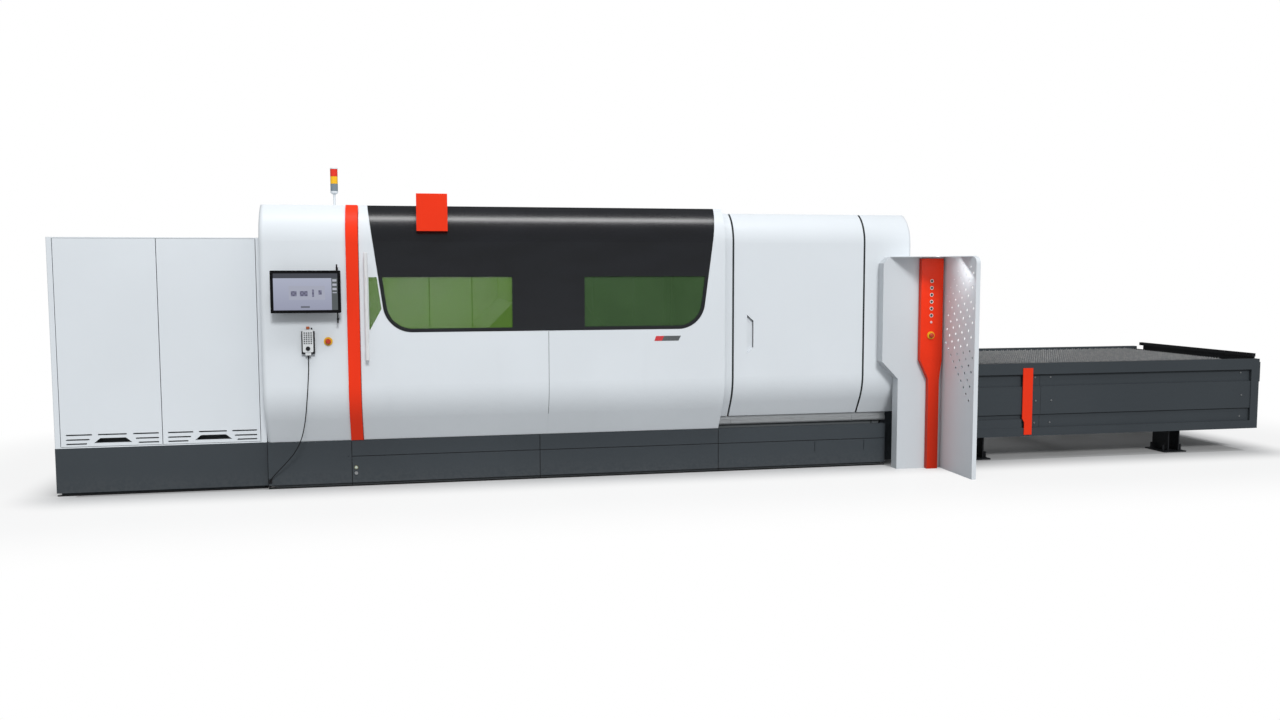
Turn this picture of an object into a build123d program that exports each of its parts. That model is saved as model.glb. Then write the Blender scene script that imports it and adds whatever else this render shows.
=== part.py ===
from build123d import *
import math
import os

os.makedirs("parts", exist_ok=True)

# overall size; the origin is on the floor under the middle of the machine
total_length = 11330
total_depth = 3260
portal_reach = 860
left_end = -total_length / 2
right_end = total_length / 2
front = portal_reach - total_depth / 2
rear = total_depth / 2

# heights
plinth_top = 395
body_low = plinth_top + 3
left_high = 2387
right_high = 2350
service_low = 505
base_recess = 30

# places along the machine, from left to right
cabinet_left = left_end
cabinet_right = left_end + 1653
housing_left = cabinet_right + 8
stripe_left = housing_left + 688
stripe_right = stripe_left + 100
door_left = stripe_right + 4
door_right = door_left + 3147
service_left = door_right + 99
service_right = service_left + 1241
housing_right = housing_left + 5754
plinth_right = housing_left + 5572
table_left = housing_right + 4
table_right = right_end - 27

# the front's cross-section: a slant at the foot, a large arc, an upright and a roof arc
slant = math.radians(32)
face = front - 200
foot_radius = 520
foot_centre = (face + foot_radius, 880)
roof_radius = 380
roof_centre = (face + roof_radius, 2083)
sheet = 3
door_thickness = 45
recess = 80


def block(x, y, z, mode=Mode.ADD):
    """Adds or cuts the box between a low and a high value on each axis."""
    with Locations((sum(x) / 2, sum(y) / 2, sum(z) / 2)):
        Box(x[1] - x[0], y[1] - y[0], z[1] - z[0], mode=mode)


def front_plane(depth):
    """The upright plane this far behind the plinth's front, seen from the front."""
    return Plane.XZ.offset(-(front + depth))


def front_line(inset, low, high):
    """Draws the front's cross-section, moved inwards, and gives its lower and upper end."""
    radius = foot_radius - inset
    start_y = foot_centre[0] - radius * math.cos(slant)
    start_z = foot_centre[1] - radius * math.sin(slant)
    bottom = (start_y + (start_z - low) * math.tan(slant), low)
    top_angle = math.degrees(math.asin((high - roof_centre[1]) / (roof_radius - inset)))
    Line(bottom, (start_y, start_z))
    CenterArc(foot_centre, radius, 180, math.degrees(slant))
    Line((face + inset, foot_centre[1]), (face + inset, roof_centre[1]))
    roof = CenterArc(roof_centre, roof_radius - inset, 180, -top_angle)
    return bottom, (roof @ 1).X, (roof @ 1).Y


def front_skin(x_low, x_high, inset, thickness, low, high):
    """A length of the front between two depths below its outer surface."""
    with BuildPart() as skin:
        with BuildSketch(Plane.YZ.offset(x_low)):
            with BuildLine():
                outer_foot, outer_y, outer_z = front_line(inset, low, high)
                inner_foot, inner_y, inner_z = front_line(inset + thickness, low, high - thickness)
                Line(outer_foot, inner_foot)
                Line((outer_y, outer_z), (inner_y, inner_z))
            make_face()
        extrude(amount=x_high - x_low)
    return skin.part


def front_solid(x_low, x_high, inset, low, high, back):
    """Everything behind the front's surface, as far as a plane at the back."""
    with BuildPart() as solid:
        with BuildSketch(Plane.YZ.offset(x_low)):
            with BuildLine():
                foot, top_y, top_z = front_line(inset, low, high)
                Polyline(foot, (front + back, low), (front + back, high), (top_y, top_z))
            make_face()
        extrude(amount=x_high - x_low)
    return solid.part


def wrapped_sheet(x_low, x_high, inset, low, high, back, corner, end):
    """A folded sheet: the front skin and one side wall, joined by a rounded corner at end."""
    with BuildPart() as solid:
        add(front_solid(x_low, x_high, inset, low, high, back))
        end_edges = edges().filter_by(lambda e: abs(e.center().X - end) < 0.01)
        near = end_edges.filter_by(lambda e: e.center().Y < front and e.length > 100)
        fillet(near, corner)
    inner_low = x_low + (sheet if end == x_low else -10)
    inner_high = x_high - (sheet if end == x_high else -10)
    with BuildPart() as cavity:
        add(front_solid(inner_low, inner_high, inset + sheet, low - 5, high + 5, back + 10))
        inner_end = inner_low if end == x_low else inner_high
        end_edges = edges().filter_by(lambda e: abs(e.center().X - inner_end) < 0.01)
        near = end_edges.filter_by(lambda e: e.center().Y < front and e.length > 100)
        fillet(near, corner - sheet)
    return solid.part, cavity.part


# plinth: dark skirt panels round the foot of the housing
skirt = 20
seam = 6
skirt_seam_z = 258
skirt_seams = [stripe_left, housing_left + 2302, door_right]
key_x = stripe_left + 34
lamp_z, key_z = 160, 112
with BuildPart() as front_plinth:
    block((housing_left, plinth_right), (front, rear), (base_recess, plinth_top))
    fillet(edges().filter_by(Axis.Z).group_by(Axis.Y)[0].sort_by(Axis.X)[0], 10)
    block(
        (housing_left + skirt, plinth_right - skirt),
        (front + skirt, rear - skirt),
        (base_recess, plinth_top),
        Mode.SUBTRACT,
    )
    for y_low, y_high in ((front + skirt, front + 40), (rear - 60, rear - skirt)):
        block((housing_left + skirt, plinth_right - skirt), (y_low, y_high), (plinth_top - 4, plinth_top))
    for x in skirt_seams:
        block((x - seam / 2, x + seam / 2), (front, front + 8), (base_recess, plinth_top), Mode.SUBTRACT)
    block(
        (stripe_left, plinth_right),
        (front, front + 8),
        (skirt_seam_z - seam / 2, skirt_seam_z + seam / 2),
        Mode.SUBTRACT,
    )
    for x in (housing_left + 4872, housing_left + 5360):
        block((x - 4, x + 4), (front, front + 8), (150, skirt_seam_z - 15), Mode.SUBTRACT)
    with Locations(front_plane(0)):
        with Locations((key_x, lamp_z), (key_x, key_z)):
            Hole(11.05, depth=16)
        with Locations((stripe_left - 29, skirt_seam_z)):
            Hole(5, depth=12)
    block((plinth_right - 10, housing_right - 4), (front + 90, front + 110), (base_recess, 500))
front_plinth.part.label = "front_plinth"
export_step(front_plinth.part, "parts/front_plinth.step")

# left control section: one wrap-around sheet with a rounded front corner
corner_radius = 40
wall_inside = rear - 100
estop_x = housing_left + 532
estop_z = 1259
left_depth = wall_inside - front - 4
left_solid, left_cavity = wrapped_sheet(
    housing_left, stripe_left - 2, 0, body_low, left_high, left_depth, corner_radius, housing_left
)
with BuildPart() as left_shell:
    add(left_solid)
    add(left_cavity, mode=Mode.SUBTRACT)
    with Locations(front_plane(-200)):
        with Locations((estop_x, estop_z)):
            Hole(12, depth=10)
left_shell.part.label = "left_shell"
export_step(left_shell.part, "parts/left_shell.step")

# red stripe that covers the joint between the control section and the sliding door
stripe_proud = 14
with BuildPart() as red_stripe_cover:
    add(front_skin(stripe_left, stripe_right, -stripe_proud, stripe_proud + 20, body_low, left_high + 6))
    right_edges = edges().filter_by(lambda e: abs(e.center().X - stripe_right) < 0.01)
    fillet(right_edges.sort_by(Axis.Z)[-1], 14)
    right_edges = edges().filter_by(lambda e: abs(e.center().X - stripe_right) < 0.01 and e.length > 600)
    fillet(right_edges.sort_by(Axis.Y)[0], 5)
red_stripe_cover.part.label = "red_stripe_cover"
export_step(red_stripe_cover.part, "parts/red_stripe_cover.step")

# sliding front door: a curved panel with three window openings and a recess for the dark cover
glass_top_left = (door_left + 66, left_high + 40)
glass_foot_left = (door_left + 215.5, 1325.5)
glass_foot_right = (door_right - 213, 1325.5)
glass_top_right = (door_right - 69, left_high + 40)
glass_corner = 240
glass_thickness = 8
window_low = 1355
window_high = 1788
window_middle_left = door_left + 1263
window_middle_right = door_left + 1887
window_border = 30
pentagon = [
    (door_left + 73, window_high),
    (door_left + 141, window_high),
    (door_left + 175, 1523),
    (door_left + 78, 1347),
    (door_left + 73, 1356),
]


def cover_outline(grow):
    """The outline of the dark cover, seen from the front."""
    with BuildSketch() as outline:
        with BuildLine():
            Polyline(glass_top_left, glass_foot_left, glass_foot_right, glass_top_right, close=True)
        make_face()
        fillet(outline.vertices().group_by(Axis.Y)[0], glass_corner)
        if grow:
            offset(amount=grow)
    return outline.sketch


def window_outline(low, high, grow):
    """The part of the cover between two places along the door that a window fills."""
    with BuildSketch() as outline:
        add(cover_outline(grow - window_border))
        with Locations(((low + high) / 2, (window_low + window_high) / 2)):
            Rectangle(high - low + 2 * grow, window_high - window_low + 2 * grow, mode=Mode.INTERSECT)
    return outline.sketch


left_window = (door_left, window_middle_left)
right_window = (window_middle_right, door_right)

with BuildPart() as cover_pocket:
    with BuildSketch(front_plane(-260)):
        add(cover_outline(2))
    extrude(amount=-300)
    pocket_depth = glass_thickness + 2
    pocket_skin = front_skin(door_left - 5, door_right + 5, -2, pocket_depth, body_low, left_high + 4)
    add(pocket_skin, mode=Mode.INTERSECT)

# groove between the two lower halves of the door
groove_left = door_left + 1571
with BuildPart() as door_groove:
    add(front_skin(groove_left, groove_left + 4, -2, 4, body_low - 5, left_high))
    block((groove_left, groove_left + 4), (face - 10, front + 100), (body_low - 5, 1320), Mode.INTERSECT)

with BuildPart() as front_door_panel:
    add(front_skin(door_left, door_right, 0, door_thickness, body_low, left_high))
    add(cover_pocket.part, mode=Mode.SUBTRACT)
    with BuildSketch(front_plane(-260)):
        add(window_outline(*left_window, 12))
        add(window_outline(*right_window, 12))
        with BuildLine():
            Polyline(*pentagon, close=True)
        make_face()
    extrude(amount=-160, mode=Mode.SUBTRACT)
    add(door_groove.part, mode=Mode.SUBTRACT)
    shoe_low, shoe_high = 452, 494
    for x in (door_left + 250, door_left + 1500):
        with BuildSketch(Plane.YZ.offset(x)):
            with BuildLine():
                inner_low = front + 53 - (shoe_low - body_low) * math.tan(slant)
                inner_high = front + 53 - (shoe_high - body_low) * math.tan(slant)
                Polyline(
                    (inner_low + 5, shoe_low),
                    (front + 49, shoe_low),
                    (front + 49, shoe_high),
                    (inner_high + 5, shoe_high),
                    close=True,
                )
            make_face()
        extrude(amount=160)
front_door_panel.part.label = "front_door_panel"
export_step(front_door_panel.part, "parts/front_door_panel.step")

# dark cover: one curved sheet that wraps up to the roof edge
with BuildPart() as front_door_glass:
    with BuildSketch(front_plane(-260)):
        add(cover_outline(0))
        add(window_outline(*left_window, 0), mode=Mode.SUBTRACT)
        add(window_outline(*right_window, 0), mode=Mode.SUBTRACT)
    extrude(amount=-300)
    cover_skin = front_skin(door_left - 5, door_right + 5, 0, glass_thickness, body_low, left_high)
    add(cover_skin, mode=Mode.INTERSECT)
front_door_glass.part.label = "front_door_glass"
export_step(front_door_glass.part, "parts/front_door_glass.step")

# green laser-safety panes behind the openings of the dark cover
pane = 6
with BuildPart() as window_left:
    with BuildSketch(front_plane(-200 + glass_thickness + 0.5)):
        add(window_outline(*left_window, 10))
    extrude(amount=-pane)
window_left.part.label = "window_left"
export_step(window_left.part, "parts/window_left.step")

with BuildPart() as window_right:
    with BuildSketch(front_plane(-200 + glass_thickness + 0.5)):
        add(window_outline(*right_window, 10))
    extrude(amount=-pane)
window_right.part.label = "window_right"
export_step(window_right.part, "parts/window_right.step")

with BuildPart() as window_small:
    with BuildSketch(front_plane(-198)):
        with BuildLine():
            Polyline(*pentagon, close=True)
        make_face()
        offset(amount=-1)
    extrude(amount=-pane)
window_small.part.label = "window_small"
export_step(window_small.part, "parts/window_small.step")

# upright bar handle on two stand-offs
handle_x = door_left + 56
handle_low, handle_high = 1100, 1990
with BuildPart() as front_door_handle:
    with BuildSketch(Plane.XY.offset(handle_low)):
        with Locations((handle_x, face - 62)):
            RectangleRounded(30, 26, 9)
    extrude(amount=handle_high - handle_low)
    chamfer(edges().group_by(Axis.Z)[-1] + edges().group_by(Axis.Z)[0], 3)
    with Locations(front_plane(-200)):
        with Locations((handle_x, handle_low + 90), (handle_x, handle_high - 90)):
            Cylinder(9, 55, align=(Align.CENTER, Align.CENTER, Align.MIN))
front_door_handle.part.label = "front_door_handle"
export_step(front_door_handle.part, "parts/front_door_handle.step")

# red sign plate: a folded box that seats on the cover and stands above the roof edge
sign_left = door_left + 472
sign_right = sign_left + 255
with BuildPart() as sign_plate:
    block((sign_left, sign_right), (face - 50, face + 50), (2170, 2480))
    add(front_solid(sign_left - 5, sign_right + 5, 0, body_low, left_high, 600), mode=Mode.SUBTRACT)
    fillet(edges().filter_by(Axis.X).group_by(Axis.Y)[0].sort_by(Axis.Z)[-1], 6)
sign_plate.part.label = "sign_plate"
export_step(sign_plate.part, "parts/sign_plate.step")

# roof: a flat cap, higher over the sliding door than over the service section
roof_corner = 110
with BuildPart() as roof_panel:
    block((housing_left + sheet, door_right), (front - 27, rear), (right_high - 8, left_high))
    fillet(edges().filter_by(Axis.Z).group_by(Axis.Y)[0].sort_by(Axis.X)[0], roof_corner)
    block((door_right - 1, housing_right - sheet), (front + 50, rear), (right_high - 8, right_high))
    fillet(edges().filter_by(Axis.Z).group_by(Axis.X)[-1].sort_by(Axis.Y)[0], roof_corner)
    block(
        (housing_left + 60, door_right - 60), (front + 40, rear - 60), (right_high - 8, left_high - 4),
        Mode.SUBTRACT,
    )
roof_panel.part.label = "roof_panel"
export_step(roof_panel.part, "parts/roof_panel.step")

# rear wall: double-skinned, with upright panel joints inside that turn into ribs further right
panel_pitch = 450
with BuildPart() as rear_panel:
    block((housing_left + sheet, housing_right - sheet), (wall_inside, rear), (body_low, right_high - 8))
    block(
        (housing_left + 20, housing_right - 20), (wall_inside + 14, rear - 5), (body_low, right_high - 20),
        Mode.SUBTRACT,
    )
    for number in range(10):
        joint_x = housing_left + 941 + number * panel_pitch
        if joint_x < door_left + 2300:
            joint = (joint_x - 5, joint_x + 5)
            block(joint, (wall_inside, wall_inside + 6), (body_low, right_high), Mode.SUBTRACT)
        else:
            block((joint_x - 30, joint_x + 30), (wall_inside - 24, wall_inside), (900, 2200))
rear_panel.part.label = "rear_panel"
export_step(rear_panel.part, "parts/rear_panel.step")

# service section: post strip, hinged access door and end panel, all set back behind the sliding door
service_seam = 9
flange = 15
with BuildPart() as right_post_panel:
    post_low, post_high = door_right + 3, service_left - service_seam
    add(front_skin(post_low, post_high, recess, flange, service_low, right_high))
    post_low, post_high = post_low + sheet, post_high - sheet
    inside = front_skin(post_low, post_high, recess + sheet, flange, service_low + 3, right_high - 5)
    add(inside, mode=Mode.SUBTRACT)
right_post_panel.part.label = "right_post_panel"
export_step(right_post_panel.part, "parts/right_post_panel.step")

grip_left = service_left + 131
with BuildPart() as side_door:
    add(front_skin(service_left + service_seam, service_right, recess, 30, service_low, right_high))
    with BuildSketch(front_plane(-130)):
        with BuildLine():
            Polyline(
                (grip_left, 1090),
                (grip_left + 60, 1145),
                (grip_left + 60, 1385),
                (grip_left, 1440),
                close=True,
            )
        make_face()
    extrude(amount=-32, mode=Mode.SUBTRACT)
side_door.part.label = "side_door"
export_step(side_door.part, "parts/side_door.step")

end_left = service_right + 2 * service_seam
end_solid, end_cavity = wrapped_sheet(
    end_left, housing_right, recess, service_low, right_high, 60, corner_radius, housing_right
)
with BuildPart() as right_end_panel:
    add(end_solid)
    add(end_cavity, mode=Mode.SUBTRACT)
right_end_panel.part.label = "right_end_panel"
export_step(right_end_panel.part, "parts/right_end_panel.step")

# right end wall with the opening that the pallets pass through
entry_front, entry_rear = front + 110, front + 1890
entry_low, entry_high = 540, 1010
with BuildPart() as right_end_wall:
    block((housing_right - 4, housing_right), (front + 63, wall_inside), (body_low, right_high - 8))
    entry = ((entry_front, entry_rear), (entry_low, entry_high))
    block((housing_right - 5, housing_right + 1), *entry, Mode.SUBTRACT)
    entry_rim = (housing_right - 40, housing_right - 4)
    for y in (entry_front - 20, entry_rear):
        block(entry_rim, (y, y + 20), (entry_low, entry_high))
    block(entry_rim, (entry_front - 20, entry_rear + 20), (entry_high, entry_high + 20))
right_end_wall.part.label = "right_end_wall"
export_step(right_end_wall.part, "parts/right_end_wall.step")

# rail that the sliding door's guide shoes run on
rail_low, rail_high = 424, 498
rail_front, rail_back = front + 50, front + 85
with BuildPart() as door_guide_rail:
    with BuildSketch(Plane.YZ.offset(door_left + 5)):
        with BuildLine():
            Polyline(
                (rail_front + 10, rail_low + 46),
                (rail_front + 10, rail_high),
                (rail_back, rail_high),
                (rail_back, rail_low),
                (rail_front + 8, rail_low),
            )
            ThreePointArc(
                (rail_front + 8, rail_low), (rail_front, rail_low + 25), (rail_front + 10, rail_low + 46)
            )
        make_face()
    extrude(amount=plinth_right + 20 - door_left - 5)
    for x in (service_left + 30, housing_left + 5256):
        block((x - 1, x + 1), (rail_front - 2, rail_front + 12), (rail_low - 2, rail_high + 2), Mode.SUBTRACT)
door_guide_rail.part.label = "door_guide_rail"
export_step(door_guide_rail.part, "parts/door_guide_rail.step")

# housing frame: square tubes from the floor to the roof
post = 70
beam_low, beam_high = 2260, right_high - 10
front_posts = [housing_left + 62, stripe_left + 28]
end_post = plinth_right - 100
mid_posts = [door_right + 8, service_right + 29]
rear_posts = [housing_left + 62, door_right + 8, end_post]
roof_beams = rear_posts[:-1]
frame_left, frame_right = front_posts[0], end_post + post
rear_tube = (wall_inside - 90, wall_inside - 30)
with BuildPart() as housing_frame:
    for x in front_posts:
        block((x, x + post), (front + 42, front + 102), (0, beam_high))
    for x in mid_posts:
        block((x, x + post), (front + 42, front + 85), (540, beam_low + 40))
    block((end_post, frame_right), (front + 86, front + 146), (0, beam_high))
    block((end_post - 5, frame_right), (front + 30, front + 146), (0, 80))
    for x in rear_posts:
        block((x, x + post), rear_tube, (0, beam_high))
    for x in roof_beams:
        block((x, x + post), (front + 85, rear_tube[1]), (beam_low, beam_high))
    for low, high in ((beam_low, beam_high), (0, 80)):
        block((frame_left, frame_right), rear_tube, (low, high))
    block((frame_left, frame_right), (front + 60, front + 120), (beam_low, beam_high))
    block((frame_left, frame_right), (front + 30, front + 84), (0, 80))
    block((frame_left, frame_left + post), (front + 30, rear_tube[1]), (0, 80))
housing_frame.part.label = "housing_frame"
export_step(housing_frame.part, "parts/housing_frame.step")

# machine bed: a hollow welded trough whose two walls carry the bridge
bed_left = door_left + 50
bed_right = plinth_right - 110
wall_front, wall_rear = front + 85, front + 1905
wall = 50
wall_top = 1000
pallet_gap = 60
with BuildPart() as machine_bed:
    with BuildSketch(Plane.YZ.offset(bed_left)):
        with BuildLine():
            Polyline(
                (wall_front, 0),
                (wall_rear, 0),
                (wall_rear, wall_top),
                (wall_rear - wall, wall_top),
                (wall_rear - wall, 560),
                (wall_rear - 205, 380),
                (wall_rear - 255, 120),
                (wall_front + 255, 120),
                (wall_front + 205, 380),
                (wall_front + wall, 560),
                (wall_front + wall, wall_top),
                (wall_front, wall_top),
                close=True,
            )
        make_face()
        for y in (wall_front + 110, wall_rear - 110):
            with Locations((y, 190)):
                RectangleRounded(150, 300, 20, mode=Mode.SUBTRACT)
        with Locations(((wall_front + wall_rear) / 2, 62)):
            RectangleRounded(1240, 70, 20, mode=Mode.SUBTRACT)
    extrude(amount=bed_right - bed_left)
    for y in (wall_front + wall, wall_rear - wall - 70):
        block((bed_left + 800, bed_right), (y, y + 70), (600, 618))
machine_bed.part.label = "machine_bed"
export_step(machine_bed.part, "parts/machine_bed.step")

# linear rails on top of the bed walls
with BuildPart() as bridge_rails:
    with BuildSketch(Plane.YZ.offset(bed_left + 20)):
        for y in (wall_front + wall / 2, wall_rear - wall / 2):
            with BuildLine():
                Polyline(
                    (y - 17, wall_top),
                    (y + 17, wall_top),
                    (y + 17, wall_top + 12),
                    (y + 10, wall_top + 18),
                    (y + 17, wall_top + 26),
                    (y + 17, wall_top + 32),
                    (y - 17, wall_top + 32),
                    (y - 17, wall_top + 26),
                    (y - 10, wall_top + 18),
                    (y - 17, wall_top + 12),
                    close=True,
                )
            make_face()
    extrude(amount=bed_right - bed_left - 40)
bridge_rails.part.label = "bridge_rails"
export_step(bridge_rails.part, "parts/bridge_rails.step")

# cutting bridge: a tall covered beam across the bed with flared feet and a slot for the carriage
bridge_x = door_left + 1595
bridge_low = wall_top + 34
bridge_high = 1960
foot_half, crown_half = 560, 300
slot_half = 200
slot_front, slot_rear = front + 260, front + 1740
with BuildPart() as bridge_beam:
    with BuildSketch(front_plane(90)):
        with BuildLine():
            Polyline(
                (bridge_x - foot_half, bridge_low),
                (bridge_x + foot_half, bridge_low),
                (bridge_x + foot_half, 1300),
                (bridge_x + crown_half, 1560),
                (bridge_x + crown_half, bridge_high),
                (bridge_x - crown_half, bridge_high),
                (bridge_x - crown_half, 1560),
                (bridge_x - foot_half, 1300),
                close=True,
            )
        make_face()
    extrude(amount=-1810)
    slot = (bridge_x - slot_half, bridge_x + slot_half)
    block(slot, (slot_front, slot_rear), (bridge_low, 1700), Mode.SUBTRACT)
    for side in (-1, 1):
        x_inner, x_outer = sorted((bridge_x + side * 230, bridge_x + side * 520))
        block((x_inner, x_outer), (slot_front, slot_rear), (bridge_low, 1260), Mode.SUBTRACT)
bridge_beam.part.label = "bridge_beam"
export_step(bridge_beam.part, "parts/bridge_beam.step")

# carriage in the slot and the cutting head that it carries
carriage_y = front + 1000
head_x = bridge_x
with BuildPart() as carriage:
    block((head_x - 190, head_x + 190), (carriage_y - 160, carriage_y + 160), (1140, 1690))
    block((head_x - 60, head_x + 60), (carriage_y - 60, carriage_y + 60), (1140, 1690), Mode.SUBTRACT)
    block((head_x - 150, head_x + 150), (carriage_y - 161, carriage_y - 130), (1200, 1640), Mode.SUBTRACT)
carriage.part.label = "carriage"
export_step(carriage.part, "parts/carriage.step")

nozzle_z = 965
with BuildPart() as cutting_head:
    block((head_x - 58, head_x + 58), (carriage_y - 58, carriage_y + 58), (1200, 1560))
    with BuildSketch(Plane.XZ.offset(-carriage_y)):
        with BuildLine():
            Polyline(
                (head_x, 1200),
                (head_x + 45, 1200),
                (head_x + 45, 1090),
                (head_x + 26, 1040),
                (head_x + 26, 1005),
                (head_x + 6, nozzle_z),
                (head_x, nozzle_z),
                close=True,
            )
        make_face()
    revolve(axis=Axis((head_x, carriage_y, 0), (0, 0, 1)))
    with Locations((head_x, carriage_y, nozzle_z)):
        Cylinder(1.5, 90, mode=Mode.SUBTRACT)
cutting_head.part.label = "cutting_head"
export_step(cutting_head.part, "parts/cutting_head.step")

# signal beacon: stem with foot, inner rod and cap, and three identical lens modules
beacon_x, beacon_y = housing_left + 575, front + 300
lens_low = 2526
lens_height = 62
with BuildPart() as beacon_stem:
    with BuildSketch(Plane.XZ.offset(-beacon_y)):
        with BuildLine():
            Polyline(
                (beacon_x, left_high),
                (beacon_x + 30, left_high),
                (beacon_x + 30, left_high + 10),
                (beacon_x + 10, left_high + 16),
                (beacon_x + 10, lens_low - 30),
                (beacon_x + 32, lens_low - 14),
                (beacon_x + 32, lens_low),
                (beacon_x + 6, lens_low),
                (beacon_x + 6, 2716),
                (beacon_x + 33, 2716),
                (beacon_x + 30, 2726),
                (beacon_x, 2726),
                close=True,
            )
        make_face()
    revolve(axis=Axis((beacon_x, beacon_y, 0), (0, 0, 1)))
beacon_stem.part.label = "beacon_stem"
export_step(beacon_stem.part, "parts/beacon_stem.step")

with BuildPart() as beacon_lenses:
    for level in range(3):
        base = lens_low + 0.5 + level * (lens_height + 1)
        with BuildSketch(Plane.XY.offset(base)):
            with Locations((beacon_x, beacon_y)):
                Circle(31)
                Circle(6.3, mode=Mode.SUBTRACT)
        extrude(amount=lens_height)
beacon_lenses.part.label = "beacon_lenses"
export_step(beacon_lenses.part, "parts/beacon_lenses.step")

# screen on an upright pivot rod
rod_x, rod_y = housing_left + 617, face - 65
rod_low, rod_high = 1412, 1894
with BuildPart() as monitor_arm:
    with Locations((rod_x, rod_y, rod_low)):
        Cylinder(6, rod_high - rod_low, align=(Align.CENTER, Align.CENTER, Align.MIN))
    for z in (1436, 1852):
        block((rod_x - 7, rod_x + 7), (rod_y - 8, face), (z, z + 18))
monitor_arm.part.label = "monitor_arm"
export_step(monitor_arm.part, "parts/monitor_arm.step")

case_left = housing_left + 99
case_right = case_left + 550
case_low, case_high = 1499, 1844
case_front = face - 130
bezel = 24
with BuildPart() as monitor_case:
    block((case_left, case_right), (case_front, case_front + 42), (case_low, case_high))
    fillet(edges().filter_by(Axis.Y), 8)
    chamfer(faces().sort_by(Axis.Y)[-1].edges(), 6)
    with BuildSketch(front_plane(-330)):
        with Locations(((case_left + case_right) / 2, (case_low + case_high) / 2)):
            Rectangle(case_right - case_left - 2 * bezel, case_high - case_low - 2 * bezel)
    extrude(amount=-3, mode=Mode.SUBTRACT)
    for z in (1540, 1790):
        with Locations((rod_x, rod_y, z)):
            Cylinder(11, 28, align=(Align.CENTER, Align.CENTER, Align.MIN))
        block((rod_x - 11, rod_x), (case_front + 38, rod_y), (z, z + 28))
        with Locations((rod_x, rod_y, z)):
            Cylinder(6.08, 28, align=(Align.CENTER, Align.CENTER, Align.MIN), mode=Mode.SUBTRACT)
monitor_case.part.label = "monitor_case"
export_step(monitor_case.part, "parts/monitor_case.step")

# emergency stops on the control panel and on the table terminal
column_face = front - 283
portal_estop_x, portal_estop_z = housing_left + 5878, 1241
with BuildPart() as estop_collars:
    for x, y, z in ((estop_x, face, estop_z), (portal_estop_x, column_face, portal_estop_z)):
        with Locations((x, y, z)):
            Cylinder(35, 10, rotation=(90, 0, 0), align=(Align.CENTER, Align.CENTER, Align.MIN))
            Cylinder(9, 24, rotation=(90, 0, 0), mode=Mode.SUBTRACT)
estop_collars.part.label = "estop_collars"
export_step(estop_collars.part, "parts/estop_collars.step")


def mushroom(x, y, z):
    """A mushroom button whose head stands in front of a collar on the plane y."""
    with BuildPart() as button:
        with BuildSketch(Plane.YZ.offset(x)):
            with BuildLine():
                Polyline(
                    (y + 8, z),
                    (y + 8, z + 8.5),
                    (y - 17, z + 8.5),
                    (y - 17, z + 22),
                    (y - 28, z + 22),
                    (y - 38, z + 13),
                    (y - 38, z),
                    close=True,
                )
            make_face()
        revolve(axis=Axis((x, y, z), (0, 1, 0)))
    return button.part


panel_estop_button = mushroom(estop_x, face, estop_z)
panel_estop_button.label = "panel_estop_button"
export_step(panel_estop_button, "parts/panel_estop_button.step")

portal_estop_button = mushroom(portal_estop_x, column_face, portal_estop_z)
portal_estop_button.label = "portal_estop_button"
export_step(portal_estop_button, "parts/portal_estop_button.step")

# hand pendant in its cradle
pendant_x = housing_left + 374
pendant_low, pendant_high = 1148, 1360
pendant_front = face - 48
with BuildPart() as pendant_holder:
    block((pendant_x - 52, pendant_x + 52), (face - 38, face), (1160, 1345))
    block((pendant_x - 43, pendant_x + 43), (face - 39, face - 10), (1172, 1346), Mode.SUBTRACT)
    block((pendant_x - 24, pendant_x + 24), (face - 39, face - 10), (1155, 1180), Mode.SUBTRACT)
pendant_holder.part.label = "pendant_holder"
export_step(pendant_holder.part, "parts/pendant_holder.step")

dial_z = 1205
with BuildPart() as pendant_body:
    block((pendant_x - 41.5, pendant_x + 41.5), (pendant_front, face - 11), (1173, pendant_high))
    fillet(edges().filter_by(Axis.Y), 12)
    block((pendant_x - 22, pendant_x + 22), (pendant_front + 4, face - 13), (pendant_low, 1176))
    with Locations(front_plane(-248)):
        with Locations((pendant_x, 1290)):
            with GridLocations(18, 17, 4, 6):
                Box(11, 10, 3, align=(Align.CENTER, Align.CENTER, Align.MIN))
    with Locations((pendant_x, pendant_front, dial_z)):
        Cylinder(4.1, 24, rotation=(90, 0, 0), mode=Mode.SUBTRACT)
    with Locations((pendant_x, (pendant_front + face - 11) / 2, pendant_high)):
        Cylinder(6.3, 24, mode=Mode.SUBTRACT)
pendant_body.part.label = "pendant_body"
export_step(pendant_body.part, "parts/pendant_body.step")

with BuildPart() as pendant_dial:
    with Locations((pendant_x, pendant_front - 1, dial_z)):
        Cylinder(17, 10, rotation=(90, 0, 0), align=(Align.CENTER, Align.CENTER, Align.MIN))
    chamfer(edges().group_by(Axis.Y)[0], 2)
    with Locations((pendant_x, pendant_front - 1, dial_z)):
        Cylinder(4, 10, rotation=(-90, 0, 0), align=(Align.CENTER, Align.CENTER, Align.MIN))
    with Locations((pendant_x + 10, pendant_front - 11, dial_z)):
        Cylinder(2.5, 1.5, rotation=(90, 0, 0), mode=Mode.SUBTRACT)
pendant_dial.part.label = "pendant_dial"
export_step(pendant_dial.part, "parts/pendant_dial.step")

with BuildPart() as pendant_estop:
    with Locations((pendant_x, (pendant_front + face - 11) / 2, pendant_high - 8)):
        Cylinder(6, 15, align=(Align.CENTER, Align.CENTER, Align.MIN))
    with Locations((pendant_x, (pendant_front + face - 11) / 2, pendant_high + 7)):
        Cylinder(14, 18, align=(Align.CENTER, Align.CENTER, Align.MIN))
    chamfer(edges().group_by(Axis.Z)[-1], 4)
pendant_estop.part.label = "pendant_estop"
export_step(pendant_estop.part, "parts/pendant_estop.step")

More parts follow.
